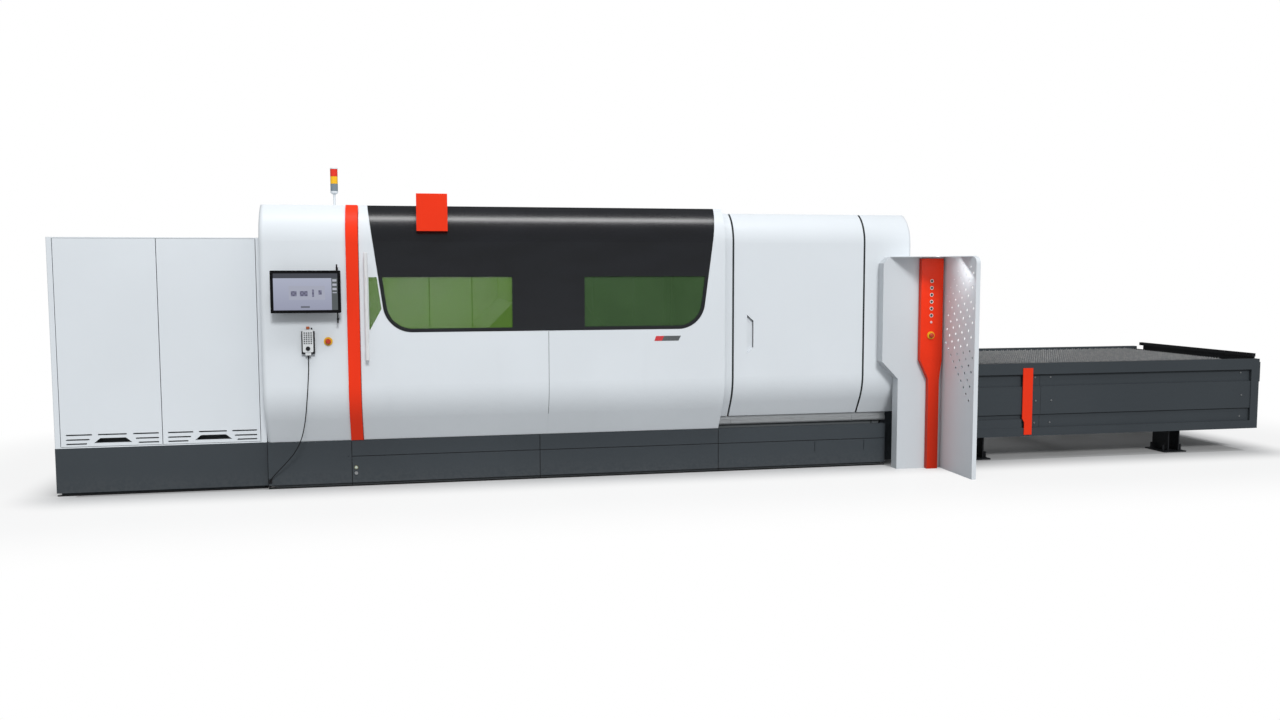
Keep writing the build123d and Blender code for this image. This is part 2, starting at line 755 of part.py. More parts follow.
# pendant cable: straight runs joined by tangent arcs, from the pendant to a gland at the plinth's corner
cord_radius = 4
cord_y = face - 30
cord_route = [
    (housing_left + 374, cord_y, 1148),
    (housing_left + 374, cord_y, 1060),
    (housing_left + 368, cord_y + 2, 965),
    (housing_left + 361, cord_y + 5, 865),
    (housing_left + 351, cord_y + 11, 765),
    (housing_left + 341, cord_y + 20, 665),
    (housing_left + 326, cord_y + 34, 565),
    (housing_left + 304, cord_y + 56, 470),
    (housing_left + 270, cord_y + 80, 385),
    (housing_left + 224, cord_y + 108, 312),
    (housing_left + 172, cord_y + 134, 250),
    (housing_left + 122, cord_y + 158, 195),
    (housing_left + 78, cord_y + 180, 150),
    (housing_left + 44, cord_y + 197, 112),
    (housing_left + 22, cord_y + 208, 84),
]
corner_points = [Vector(*p) for p in cord_route]
bend_radii = []
for before, corner, after in zip(corner_points, corner_points[1:], corner_points[2:]):
    shorter = min((corner - before).length, (after - corner).length)
    turn = (corner - before).get_angle(after - corner)
    bend_radii.append(0.45 * shorter / math.tan(math.radians(turn) / 2))
print("cord radii", [round(radius) for radius in bend_radii])
cord_path = FilletPolyline(*corner_points, radius=bend_radii)
with BuildPart() as pendant_cord:
    with BuildSketch(Plane(origin=cord_path @ 0, z_dir=cord_path % 0)):
        Circle(cord_radius)
    sweep(path=cord_path)
cord_length = cord_path.length
cord_volume = math.pi * cord_radius**2 * cord_length
print("cord length", round(cord_length), "volume share", pendant_cord.part.volume / cord_volume)
pendant_cord.part.label = "pendant_cord"
export_step(pendant_cord.part, "parts/pendant_cord.step")

# gland that takes the cable in at the plinth's corner
gland_plane = Plane(origin=cord_path @ 1, z_dir=cord_path % 1)
with BuildPart() as cord_gland:
    with BuildSketch(gland_plane):
        Circle(8)
    extrude(amount=16)
    with BuildSketch(gland_plane.offset(16)):
        Circle(10)
    extrude(amount=12)
    block((housing_left + 2, housing_left + 30), (front - 12, front), (52, 84))
cord_gland.part.label = "cord_gland"
export_step(cord_gland.part, "parts/cord_gland.step")

# key switch in the plinth
with BuildPart() as key_switch:
    with Locations(front_plane(0)):
        with Locations((key_x, key_z)):
            Cylinder(11, 15, align=(Align.CENTER, Align.CENTER, Align.MAX))
            Cylinder(14, 4, align=(Align.CENTER, Align.CENTER, Align.MIN))
    with Locations((key_x, front - 12, key_z)):
        Box(5, 16, 22)
key_switch.part.label = "key_switch"
export_step(key_switch.part, "parts/key_switch.step")

# laser cabinet: plinth, hollow shell, two vented doors and the laser source inside
cabinet_front, cabinet_rear = front + 50, front + 1250
cabinet_top = 2117
with BuildPart() as cabinet_plinth:
    block((cabinet_left, cabinet_right), (cabinet_front, cabinet_rear), (25, plinth_top))
    block((cabinet_left + 30, cabinet_right - 30), (cabinet_front + 30, cabinet_rear - 30), (0, 25))
    well = ((cabinet_left + 70, cabinet_right - 70), (cabinet_front + 70, cabinet_rear - 70))
    block(*well, (0, plinth_top - 20), Mode.SUBTRACT)
cabinet_plinth.part.label = "cabinet_plinth"
export_step(cabinet_plinth.part, "parts/cabinet_plinth.step")

post_left, post_right = cabinet_left + 43, cabinet_right - 46
with BuildPart() as cabinet_shell:
    block((cabinet_left, cabinet_right), (cabinet_front, cabinet_rear), (plinth_top, cabinet_top))
    fillet(edges().filter_by(Axis.Z).group_by(Axis.Y)[0].sort_by(Axis.X)[0], 8)
    room = (plinth_top + 8, cabinet_top - 8)
    block((post_left, post_right), (cabinet_front, cabinet_rear - 10), room, Mode.SUBTRACT)
cabinet_shell.part.label = "cabinet_shell"
export_step(cabinet_shell.part, "parts/cabinet_shell.step")

cabinet_mid = cabinet_left + 828
leaf = 25
vent_rows = [502, 463, 428]


def vented_door(x_low, x_high):
    """A cabinet door with three rows of slots round a trapezoid opening near its foot."""
    with BuildPart() as door:
        block((x_low, x_high), (cabinet_front, cabinet_front + leaf), (plinth_top + 12, cabinet_top - 10))
        with BuildSketch(front_plane(50)):
            for row, z in enumerate(vent_rows):
                length = 200 - 20 * row
                with Locations((x_low + 38 + length / 2, z), (x_high - 26 - length / 2, z)):
                    SlotOverall(length, 12)
            with Locations((x_low + 392, vent_rows[0])):
                SlotOverall(223, 12)
            with Locations((x_low + 397, 453)):
                Trapezoid(294, 41, 40)
        extrude(amount=-leaf, mode=Mode.SUBTRACT)
    return door.part


cabinet_door_left = vented_door(post_left + 5, cabinet_mid - 3)
cabinet_door_left.label = "cabinet_door_left"
export_step(cabinet_door_left, "parts/cabinet_door_left.step")

cabinet_door_right = vented_door(cabinet_mid + 3, post_right - 5)
cabinet_door_right.label = "cabinet_door_right"
export_step(cabinet_door_right, "parts/cabinet_door_right.step")

with BuildPart() as laser_source:
    rack = (cabinet_left + 250, cabinet_right - 250)
    block(rack, (cabinet_front + 150, cabinet_rear - 150), (plinth_top + 8, 1850))
    for z in range(600, 1800, 240):
        block(rack, (cabinet_front + 150, cabinet_front + 158), (z, z + 12), Mode.SUBTRACT)
laser_source.part.label = "laser_source"
export_step(laser_source.part, "parts/laser_source.step")

# table terminal: left wing, perforated right wing, canopy and button column
portal_top = 1955
wing_thickness = 40
wing_lean = 8
wing_gap = 238
wing_turn = wing_lean / (portal_reach - wing_gap)
wing_root = Vector(housing_left + 6014, front - wing_gap)
wing_tip = Vector(wing_root.X - wing_lean, front - portal_reach + wing_thickness * wing_turn)
wing_length = (wing_tip - wing_root).length
wing_along = (wing_tip - wing_root).normalized()
wing_plane = Plane(origin=wing_root, x_dir=wing_along, z_dir=wing_along.cross(Vector(0, 0, 1)))
left_wing_outline = [
    (housing_left + 5429, 1000),
    (housing_left + 5429, 1900),
    (housing_left + 5487, portal_top),
    (wing_root.X + 38, portal_top),
    (wing_root.X + 38, 0),
    (housing_left + 5586, 0),
    (housing_left + 5586, 840),
]
with BuildPart() as portal_left_wing:
    with BuildSketch(front_plane(-233)):
        with BuildLine():
            Polyline(*left_wing_outline, close=True)
        make_face()
    extrude(amount=-113)
    with BuildSketch(front_plane(-233 + sheet)):
        with BuildLine():
            Polyline(*left_wing_outline, close=True)
        make_face()
        offset(amount=-sheet)
    extrude(amount=-113, mode=Mode.SUBTRACT)
portal_left_wing.part.label = "portal_left_wing"
export_step(portal_left_wing.part, "parts/portal_left_wing.step")

# staggered diamond holes whose size fades out towards the wing's upper rear corner
lattice_origin = Vector(419, 1540)
lattice_row = Vector(117.1, 19.6)
lattice_step = Vector(49.7, -53.8)
fade_foot = Vector(0, 1450)
fade_normal = Vector(0.692, -0.58)
hole_width, hole_height = 28, 34
hole_margin = 25


def diamond_holes():
    """The centre and size of each hole in the perforated wing."""
    for step in range(-8, 15):
        for row in range(-5, 6):
            centre = lattice_origin + lattice_row * row + lattice_step * step
            fade = (centre - fade_foot).dot(fade_normal) / 200
            inside = 70 < centre.X < wing_length - hole_margin and centre.Y < portal_top - 45
            if inside and fade > -0.25:
                yield centre, min(1, 0.55 + 0.45 * fade)


with BuildPart() as portal_right_wing:
    with BuildSketch(wing_plane):
        with Locations((wing_length / 2, portal_top / 2)):
            Rectangle(wing_length, portal_top)
    extrude(amount=-wing_thickness)
    tip_edges = edges().filter_by(lambda e: abs(e.length - wing_thickness) < 0.01).group_by(Axis.Z)[-1]
    fillet(tip_edges.sort_by(Axis.Y)[0], 60)
    with BuildSketch(wing_plane.offset(-sheet)):
        with Locations((wing_length / 2, portal_top / 2)):
            Rectangle(wing_length - 2 * 14, portal_top - 2 * 14)
        fillet(vertices().group_by(Axis.Y)[-1].sort_by(Axis.X)[-1], 46)
    extrude(amount=-wing_thickness, mode=Mode.SUBTRACT)
    with BuildSketch(wing_plane):
        for centre, size in diamond_holes():
            half_width, half_height = size * hole_width / 2, size * hole_height / 2
            with BuildLine():
                Polyline(
                    (centre.X - half_width, centre.Y),
                    (centre.X, centre.Y + half_height),
                    (centre.X + half_width, centre.Y),
                    (centre.X, centre.Y - half_height),
                    close=True,
                )
            make_face()
    extrude(amount=-sheet, mode=Mode.SUBTRACT)
portal_right_wing.part.label = "portal_right_wing"
export_step(portal_right_wing.part, "parts/portal_right_wing.step")

with BuildPart() as portal_canopy:
    with BuildSketch(Plane.XY.offset(portal_top)):
        with BuildLine():
            Polyline(
                (housing_left + 5490, front - 231),
                (wing_root.X + 40, front - 231),
                (wing_tip.X + 34, wing_tip.Y + 64),
                (wing_tip.X + 6, wing_tip.Y + 64),
                close=True,
            )
        make_face()
    extrude(amount=6)
portal_canopy.part.label = "portal_canopy"
export_step(portal_canopy.part, "parts/portal_canopy.step")

button_x = housing_left + 5880
button_heights = [1738 - 63 * i for i in range(6)] + [1361]
with BuildPart() as portal_column:
    with BuildSketch(front_plane(-283)):
        with BuildLine():
            Polyline(
                (housing_left + 5778, 1943),
                (housing_left + 5994, 1943),
                (housing_left + 5994, 1016),
                (housing_left + 5970, 833),
                (housing_left + 5970, 0),
                (housing_left + 5864, 0),
                (housing_left + 5864, 833),
                (housing_left + 5778, 1016),
                close=True,
            )
        make_face()
    extrude(amount=-50)
    with Locations(front_plane(-283)):
        with Locations(*[(button_x, z) for z in button_heights]):
            Cylinder(17.5, 2, align=(Align.CENTER, Align.CENTER, Align.MIN))
            Hole(12, depth=22)
        with Locations((portal_estop_x, portal_estop_z)):
            Hole(10, depth=24)
    column_width = (housing_left + 5778, housing_left + 5994)
    block(column_width, (column_face, column_face + 2), (1014, 1018), Mode.SUBTRACT)
portal_column.part.label = "portal_column"
export_step(portal_column.part, "parts/portal_column.step")

for number, z in enumerate(button_heights, 1):
    with BuildPart() as button:
        with Locations((button_x, column_face - 5, z)):
            Cylinder(11.5, 20, rotation=(-90, 0, 0), align=(Align.CENTER, Align.CENTER, Align.MIN))
        chamfer(edges().group_by(Axis.Y)[0], 1.5)
    button.part.label = f"portal_button_{number}"
    export_step(button.part, f"parts/portal_button_{number}.step")

# pallet changer table: two long side walls with stepped panels, end wall, cross members
table_top = 934
table_low = 225
table_far = front + 1990
notch_x = housing_left + 6994
side_wall = 60
with BuildPart() as table_frame:
    with BuildSketch(Plane.YZ.offset(table_left)):
        for outer, inwards in ((front, 1), (table_far, -1)):
            with BuildLine():
                Polyline(
                    (outer, table_low),
                    (outer, 306),
                    (outer + inwards * 25, 306),
                    (outer + inwards * 25, 436),
                    (outer + inwards * 8, 436),
                    (outer + inwards * 8, 709),
                    (outer + inwards * 30, 709),
                    (outer + inwards * 30, 827),
                    (outer, 827),
                    (outer, table_top),
                    (outer + inwards * side_wall, table_top),
                    (outer + inwards * side_wall, table_low),
                    close=True,
                )
            make_face()
    extrude(amount=table_right - table_left)
    for y in (front, table_far - 32):
        block((table_right - 90, table_right), (y, y + 32), (table_low, table_top))
        block((table_left, notch_x), (y + 4, y + 28), (300, 392))
    block((table_right - 60, table_right), (front + side_wall, table_far - side_wall), (table_low, 780))
    block((table_right, right_end), (front + 20, table_far - 20), (700, 900))
    for x in (table_left + 260, table_left + 1860, table_left + 3460):
        block((x, x + 80), (front + side_wall, table_far - side_wall), (table_low, table_low + 25))
table_frame.part.label = "table_frame"
export_step(table_frame.part, "parts/table_frame.step")

with BuildPart() as table_stripe:
    with BuildSketch(front_plane(0)):
        with BuildLine():
            Polyline(
                (notch_x, 890),
                (notch_x + 105, 890),
                (notch_x + 105, 240),
                (notch_x + 23, 240),
                (notch_x + 23, 360),
                (notch_x, 400),
                close=True,
            )
        make_face()
    extrude(amount=8)
table_stripe.part.label = "table_stripe"
export_step(table_stripe.part, "parts/table_stripe.step")

with BuildPart() as table_end_rail:
    bar_front, bar_rear = front + 56, front + 1830
    block((table_right - 44, table_right - 4), (bar_front, bar_rear), (table_top + 18, table_top + 52))
    block((table_right - 24, table_right - 8), (front + side_wall, bar_rear - 45), (780, table_top + 20))
table_end_rail.part.label = "table_end_rail"
export_step(table_end_rail.part, "parts/table_end_rail.step")

with BuildPart() as table_feet:
    for x in (table_left + 814, table_left + 2979):
        for y in (front + 40, table_far - 340):
            block((x - 125, x + 125), (y, y + 300), (0, 12))
            for side in (-65, 53):
                block((x + side, x + side + 12), (y + 30, y + 270), (12, table_low))
            for side in (-95, 95):
                with Locations((x + side, y + 60, 12), (x + side, y + 240, 12)):
                    Cylinder(12, 60, align=(Align.CENTER, Align.CENTER, Align.MIN))
table_feet.part.label = "table_feet"
export_step(table_feet.part, "parts/table_feet.step")

# lift between the side walls: side plates with an upper and a lower ledge
tier = 180
upper_tier = 800
lift_left, lift_right = table_left + 60, table_right - 100
with BuildPart() as lift_frame:
    for y_low, y_high, ledge in (
        (front + 66, front + 78, (front + 66, front + 200)),
        (table_far - 78, table_far - 66, (table_far - 200, table_far - 66)),
    ):
        block((lift_left, lift_right), (y_low, y_high), (470, upper_tier - 2))
        block((lift_left, lift_right), ledge, (upper_tier - 14, upper_tier - 2))
        block((lift_left, lift_right), ledge, (upper_tier - tier - 14, upper_tier - tier - 2))
    for x in (table_left + 260, table_left + 1860, table_left + 3460):
        block((x, x + 80), (front + 66, table_far - 66), (440, 480))
lift_frame.part.label = "lift_frame"
export_step(lift_frame.part, "parts/lift_frame.step")

# pallets: a tube frame that holds a row of upright cutting slats
pallet_front, pallet_rear = front + 150, front + 1840
pallet_length = 3600
slat_pitch = 75
slat = 4


def pallet(x_low, base):
    """A pallet with its lower left edge at x_low and its frame's foot at base."""
    with BuildPart() as carrier:
        block((x_low, x_low + pallet_length), (pallet_front, pallet_rear), (base, base + 110))
        inner_x = (x_low + 60, x_low + pallet_length - 60)
        block(inner_x, (pallet_front + 60, pallet_rear - 60), (base, base + 110), Mode.SUBTRACT)
        slats = int((pallet_length - 180) / slat_pitch) + 1
        middle = (x_low + pallet_length / 2, (pallet_front + pallet_rear) / 2, base + 69)
        with Locations(middle):
            with GridLocations(slat_pitch, 1, slats, 1):
                Box(slat, pallet_rear - pallet_front - 120, 102)
    return carrier.part


pallet_inner_left = bed_right - 200 - pallet_length
pallet_stroke = 4200
pallet_outer = pallet(pallet_inner_left + pallet_stroke, upper_tier)
pallet_outer.label = "pallet_outer"
export_step(pallet_outer, "parts/pallet_outer.step")

pallet_inner = pallet(pallet_inner_left, upper_tier - tier)
pallet_inner.label = "pallet_inner"
export_step(pallet_inner, "parts/pallet_inner.step")
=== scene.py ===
import math
import bmesh
import bpy
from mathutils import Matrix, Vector


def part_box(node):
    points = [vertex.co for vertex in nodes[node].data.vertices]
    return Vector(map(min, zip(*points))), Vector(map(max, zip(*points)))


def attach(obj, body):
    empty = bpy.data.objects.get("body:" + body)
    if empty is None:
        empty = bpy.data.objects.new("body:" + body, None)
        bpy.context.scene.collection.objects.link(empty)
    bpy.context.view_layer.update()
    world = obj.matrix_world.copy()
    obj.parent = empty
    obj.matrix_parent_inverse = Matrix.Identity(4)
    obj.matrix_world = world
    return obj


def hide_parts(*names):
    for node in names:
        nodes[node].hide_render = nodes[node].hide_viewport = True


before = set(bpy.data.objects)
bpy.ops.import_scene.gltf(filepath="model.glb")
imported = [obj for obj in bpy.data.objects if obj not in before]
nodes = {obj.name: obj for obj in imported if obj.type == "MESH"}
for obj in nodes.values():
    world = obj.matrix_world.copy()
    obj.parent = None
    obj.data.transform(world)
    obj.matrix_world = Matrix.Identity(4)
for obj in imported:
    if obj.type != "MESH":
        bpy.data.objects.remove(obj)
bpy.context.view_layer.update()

print("frame loaded", len(nodes))

# turn is to the right of +Y, tilt is downwards, both in degrees
cameraSetup = {
    "place": (-2.762, -10.308, 1.837),
    "turn": 11.655,
    "tilt": 4.685,
    "roll": 0.102,
    "lens": 30.637,
    "sensor": 36,
    "far": 200,
}


def makeCamera(s):
    data = bpy.data.cameras.new("photoCamera")
    data.lens = s["lens"]
    data.sensor_width = s["sensor"]
    data.clip_end = s["far"]
    holder = bpy.data.objects.new("photoCamera", data)
    holder.location = s["place"]
    turns = (90 - s["tilt"], s["roll"], -s["turn"])
    holder.rotation_euler = [math.radians(turn) for turn in turns]
    bpy.context.collection.objects.link(holder)
    bpy.context.scene.camera = holder


makeCamera(cameraSetup)


class Sock:
    def __init__(self, look, out):
        self.look = look
        self.out = out

    def maths(self, operation, *others):
        return self.look.add("Math", {"operation": operation}, list(others))["Value"]

    def __add__(self, other):
        return self.maths("ADD", self, other)

    def __radd__(self, other):
        return self.maths("ADD", other, self)

    def __sub__(self, other):
        return self.maths("SUBTRACT", self, other)

    def __rsub__(self, other):
        return self.maths("SUBTRACT", other, self)

    def __mul__(self, other):
        return self.maths("MULTIPLY", self, other)

    def __rmul__(self, other):
        return self.maths("MULTIPLY", other, self)

    def __truediv__(self, other):
        return self.maths("DIVIDE", self, other)

    def __rtruediv__(self, other):
        return self.maths("DIVIDE", other, self)

    def __gt__(self, other):
        return self.maths("GREATER_THAN", self, other)

    def __lt__(self, other):
        return self.maths("LESS_THAN", self, other)

    def __abs__(self):
        return self.maths("ABSOLUTE", self)


class Outs:
    def __init__(self, look, node):
        self.look = look
        self.node = node

    def __getitem__(self, key):
        return Sock(self.look, self.node.outputs[key])


class Look:
    def __init__(self, name):
        self.material = bpy.data.materials.new(name)
        self.material.use_nodes = True
        self.tree = self.material.node_tree
        self.shader = self.tree.nodes["Principled BSDF"]

    def add(self, kind, settings=None, inputs=None):
        node = self.tree.nodes.new("ShaderNode" + kind)
        for key, value in (settings or {}).items():
            setattr(node, key, value)
        pairs = enumerate(inputs) if isinstance(inputs, list) else (inputs or {}).items()
        for key, value in pairs:
            self.plug(node.inputs[key], value)
        return Outs(self, node)

    def plug(self, socket, value):
        if isinstance(value, Sock):
            self.tree.links.new(value.out, socket)
        elif isinstance(value, (tuple, list)) and len(value) == 3 and socket.type == "RGBA":
            socket.default_value = (*value, 1)
        else:
            socket.default_value = value

    def base(self, **values):
        for key, value in values.items():
            self.plug(self.shader.inputs[key.replace("_", " ")], value)
        return self

    def place(self):
        return self.add("TexCoord")["Object"]

    def axis(self, name):
        return self.add("SeparateXYZ", inputs=[self.place()])[name]

    def noise(self, scale, detail=3, stretch=(1, 1, 1)):
        at = self.add("Mapping", inputs={"Vector": self.place(), "Scale": stretch})["Vector"]
        return self.add("TexNoise", inputs={"Vector": at, "Scale": scale, "Detail": detail})["Fac"]

    def mix(self, amount, first, second):
        return self.add("MixRGB", inputs=[amount, first, second])["Color"]

    def bump(self, height, strength, distance=0.001):
        values = {"Height": height, "Strength": strength, "Distance": distance}
        return self.base(Normal=self.add("Bump", inputs=values)["Normal"])

    def span(self, value, low, high, toLow=0.0, toHigh=1.0):
        values = {"Value": value, "From Min": low, "From Max": high, "To Min": toLow, "To Max": toHigh}
        return self.add("MapRange", {"interpolation_type": "SMOOTHSTEP"}, values)["Result"]


def shade(colour, share):
    return tuple(min(1, c * share) for c in colour)


coatGrain = (38, 5)
dustTone = (0.30, 0.29, 0.27)


# fine grain in the gloss and a faint orange-peel relief
def coatFinish(look, fine, rough, specular):
    gloss = look.span(fine, 0.2, 0.8, rough - 0.05, rough + 0.07)
    look.base(Roughness=gloss, Specular_IOR_Level=specular)
    return look.bump(look.noise(900, 2), 0.09, 0.0005)


# sheet metal with a baked powder coat: broad tone drift, faint streaks, and dust at the foot where asked for
def powderCoat(name, colour, rough, wear=0.06, specular=0.5, foot=0.0):
    look = Look(name)
    broad = look.noise(0.9, 4)
    fine = look.noise(*coatGrain)
    streak = look.noise(7, 4, (1, 1, 0.12))
    tone = look.mix(look.span(broad, 0.35, 0.65), shade(colour, 1 - wear), shade(colour, 1 + wear * 0.5))
    tone = look.mix(look.span(streak, 0.55, 0.8, 0.0, 0.5 * wear + 0.02), tone, shade(colour, 0.6))
    if foot:
        reach = look.span(look.axis("Z"), 0.0, 0.22, foot, 0.0) * look.span(fine, 0.3, 0.7)
        tone = look.mix(reach, tone, dustTone)
    look.base(Base_Color=tone)
    return coatFinish(look, fine, rough, specular)


def metal(name, colour, rough, brush=(1, 1, 1), scale=220, metallic=1.0):
    look = Look(name)
    lines = look.noise(scale, 4, brush)
    tone = look.mix(look.span(lines, 0.3, 0.7), shade(colour, 0.82), colour)
    look.base(Base_Color=tone, Metallic=metallic)
    look.base(Roughness=look.span(lines, 0.25, 0.75, rough - 0.08, rough + 0.1))
    return look.bump(lines, 0.12, 0.0004)


def plastic(name, colour, rough, grain=1400, strength=0.1, coat=0.0, specular=0.5):
    look = Look(name)
    fine = look.noise(26, 4)
    look.base(Base_Color=look.mix(look.span(fine, 0.3, 0.7), shade(colour, 0.9), colour), Coat_Weight=coat)
    look.base(Roughness=look.span(fine, 0.2, 0.8, rough - 0.04, rough + 0.06), Specular_IOR_Level=specular)
    return look.bump(look.noise(grain, 2), strength, 0.0003)


# dark acrylic: near black and smooth, with faint wiping marks
def darkSheet(name, colour, rough, specular):
    look = Look(name)
    smear = look.noise(2.2, 4, (1, 1, 3))
    wiped = look.noise(16, 3, (0.3, 1, 2))
    look.base(Base_Color=look.mix(look.span(smear, 0.3, 0.7), shade(colour, 0.85), shade(colour, 1.15)))
    gloss = look.span(smear, 0.25, 0.75, rough - 0.01, rough + 0.01) + look.span(wiped, 0.5, 0.8, 0.0, 0.01)
    return look.base(Roughness=gloss, Specular_IOR_Level=specular)


def greenPane(name, colour, cover):
    look = Look(name)
    smear = look.noise(3.0, 3)
    look.base(Base_Color=look.mix(look.span(smear, 0.3, 0.7), shade(colour, 0.94), shade(colour, 1.06)))
    look.base(Roughness=look.span(smear, 0.3, 0.7, 0.06, 0.10), Specular_IOR_Level=0.25)
    return look.base(Alpha=look.span(smear, 0.2, 0.8, cover - 0.02, cover + 0.02))


# three lenses on one stem: bottom grey-blue, middle amber, top red
def beaconLook(name, foot, rise):
    look = Look(name)
    level = (look.axis("Z") - foot) / rise
    lower = look.mix(level > 1.0, (0.19, 0.23, 0.26), (0.86, 0.47, 0.02))
    ribs = look.add("TexWave", {"bands_direction": "Z"}, {"Vector": look.place(), "Scale": 90.0})["Fac"]
    scuff = look.span(look.noise(60, 3), 0.3, 0.7, 0.14, 0.26)
    look.base(Base_Color=look.mix(level > 2.0, lower, (0.72, 0.035, 0.02)), Roughness=scuff)
    return look.bump(ribs, 0.25, 0.0008)


# pale housing of the hand pendant; whatever stands out in front of it is a dark key
def pendantLook(name, keyFront):
    look = Look(name)
    fine = look.noise(30, 4)
    body = look.mix(look.span(fine, 0.3, 0.7), (0.60, 0.62, 0.63), (0.68, 0.70, 0.71))
    key = look.mix(look.span(fine, 0.35, 0.65), (0.075, 0.082, 0.088), (0.10, 0.107, 0.113))
    look.base(Base_Color=look.mix(look.axis("Y") < keyFront, body, key))
    look.base(Roughness=look.span(fine, 0.2, 0.8, 0.38, 0.5))
    return look.bump(look.noise(1300, 2), 0.1, 0.0003)


def screenLook(name, s):
    look = Look(name)
    across = (look.axis("X") - s["left"]) / s["width"]
    up = (look.axis("Z") - s["low"]) / s["height"]

    def patch(x0, x1, z0, z1):
        return (across > x0) * (across < x1) * (up > z0) * (up < z1)

    grid = look.add("TexChecker", inputs={"Vector": look.place(), "Scale": s["gridScale"]})["Fac"]
    boxTone = look.mix(grid, (0.13, 0.13, 0.20), (0.22, 0.22, 0.32))
    shown = look.mix(up, (0.36, 0.38, 0.50), (0.50, 0.53, 0.66))
    for area, tone in s["fields"]:
        shown = look.mix(patch(*area), shown, tone)
    for area in s["boxes"]:
        shown = look.mix(patch(*area), shown, boxTone)
    waves = look.add("TexWave", {"bands_direction": "Z"}, {"Vector": look.place(), "Scale": s["barScale"]})
    shown = look.mix(patch(*s["bars"]) * (waves["Fac"] > s["barCut"]), shown, (0.50, 0.52, 0.60))
    haze = look.span(look.noise(9, 3), 0.3, 0.7, 0.14, 0.22)
    look.base(Base_Color=(0.01, 0.01, 0.012), Roughness=haze)
    return look.base(Emission_Color=shown, Emission_Strength=s["glow"])


# cutting slats: worn grey steel with dark burn marks
def slatLook(name):
    look = Look(name)
    worn = look.noise(14, 6)
    scorch = look.noise(60, 4, (1, 1, 0.4))
    tone = look.mix(look.span(worn, 0.42, 0.62), (0.36, 0.365, 0.37), (0.46, 0.455, 0.445))
    tone = look.mix(look.span(scorch, 0.6, 0.8, 0.0, 0.6), tone, (0.11, 0.108, 0.104))
    look.base(Base_Color=tone, Metallic=0.1, Roughness=look.span(worn, 0.3, 0.7, 0.5, 0.7))
    return look.bump(scorch, 0.3, 0.001)


# a trim plate in two tones, parted by a slanted line
def badgeLook(name, part, lean, low):
    look = Look(name)
    line = look.axis("X") - (look.axis("Z") - low) * lean
    fine = look.span(look.noise(120, 3), 0.3, 0.7, 0.24, 0.34)
    tone = look.mix(line < part, (0.10, 0.108, 0.112), (0.56, 0.045, 0.05))
    return look.base(Base_Color=tone, Roughness=fine)


# painted shade: the red of the portal's column is painted darker towards the floor, where it gets less light
def columnLook(name, colour, rough, specular, shadeShare):
    look = Look(name)
    fine = look.noise(*coatGrain)
    paintedShade = look.span(look.axis("Z"), 0.2, 1.3, 1.0, 0.0)
    worn = look.mix(look.span(fine, 0.35, 0.65), shade(colour, 0.97), colour)
    look.base(Base_Color=look.mix(paintedShade, worn, shade(colour, shadeShare)))
    return coatFinish(look, fine, rough, specular)


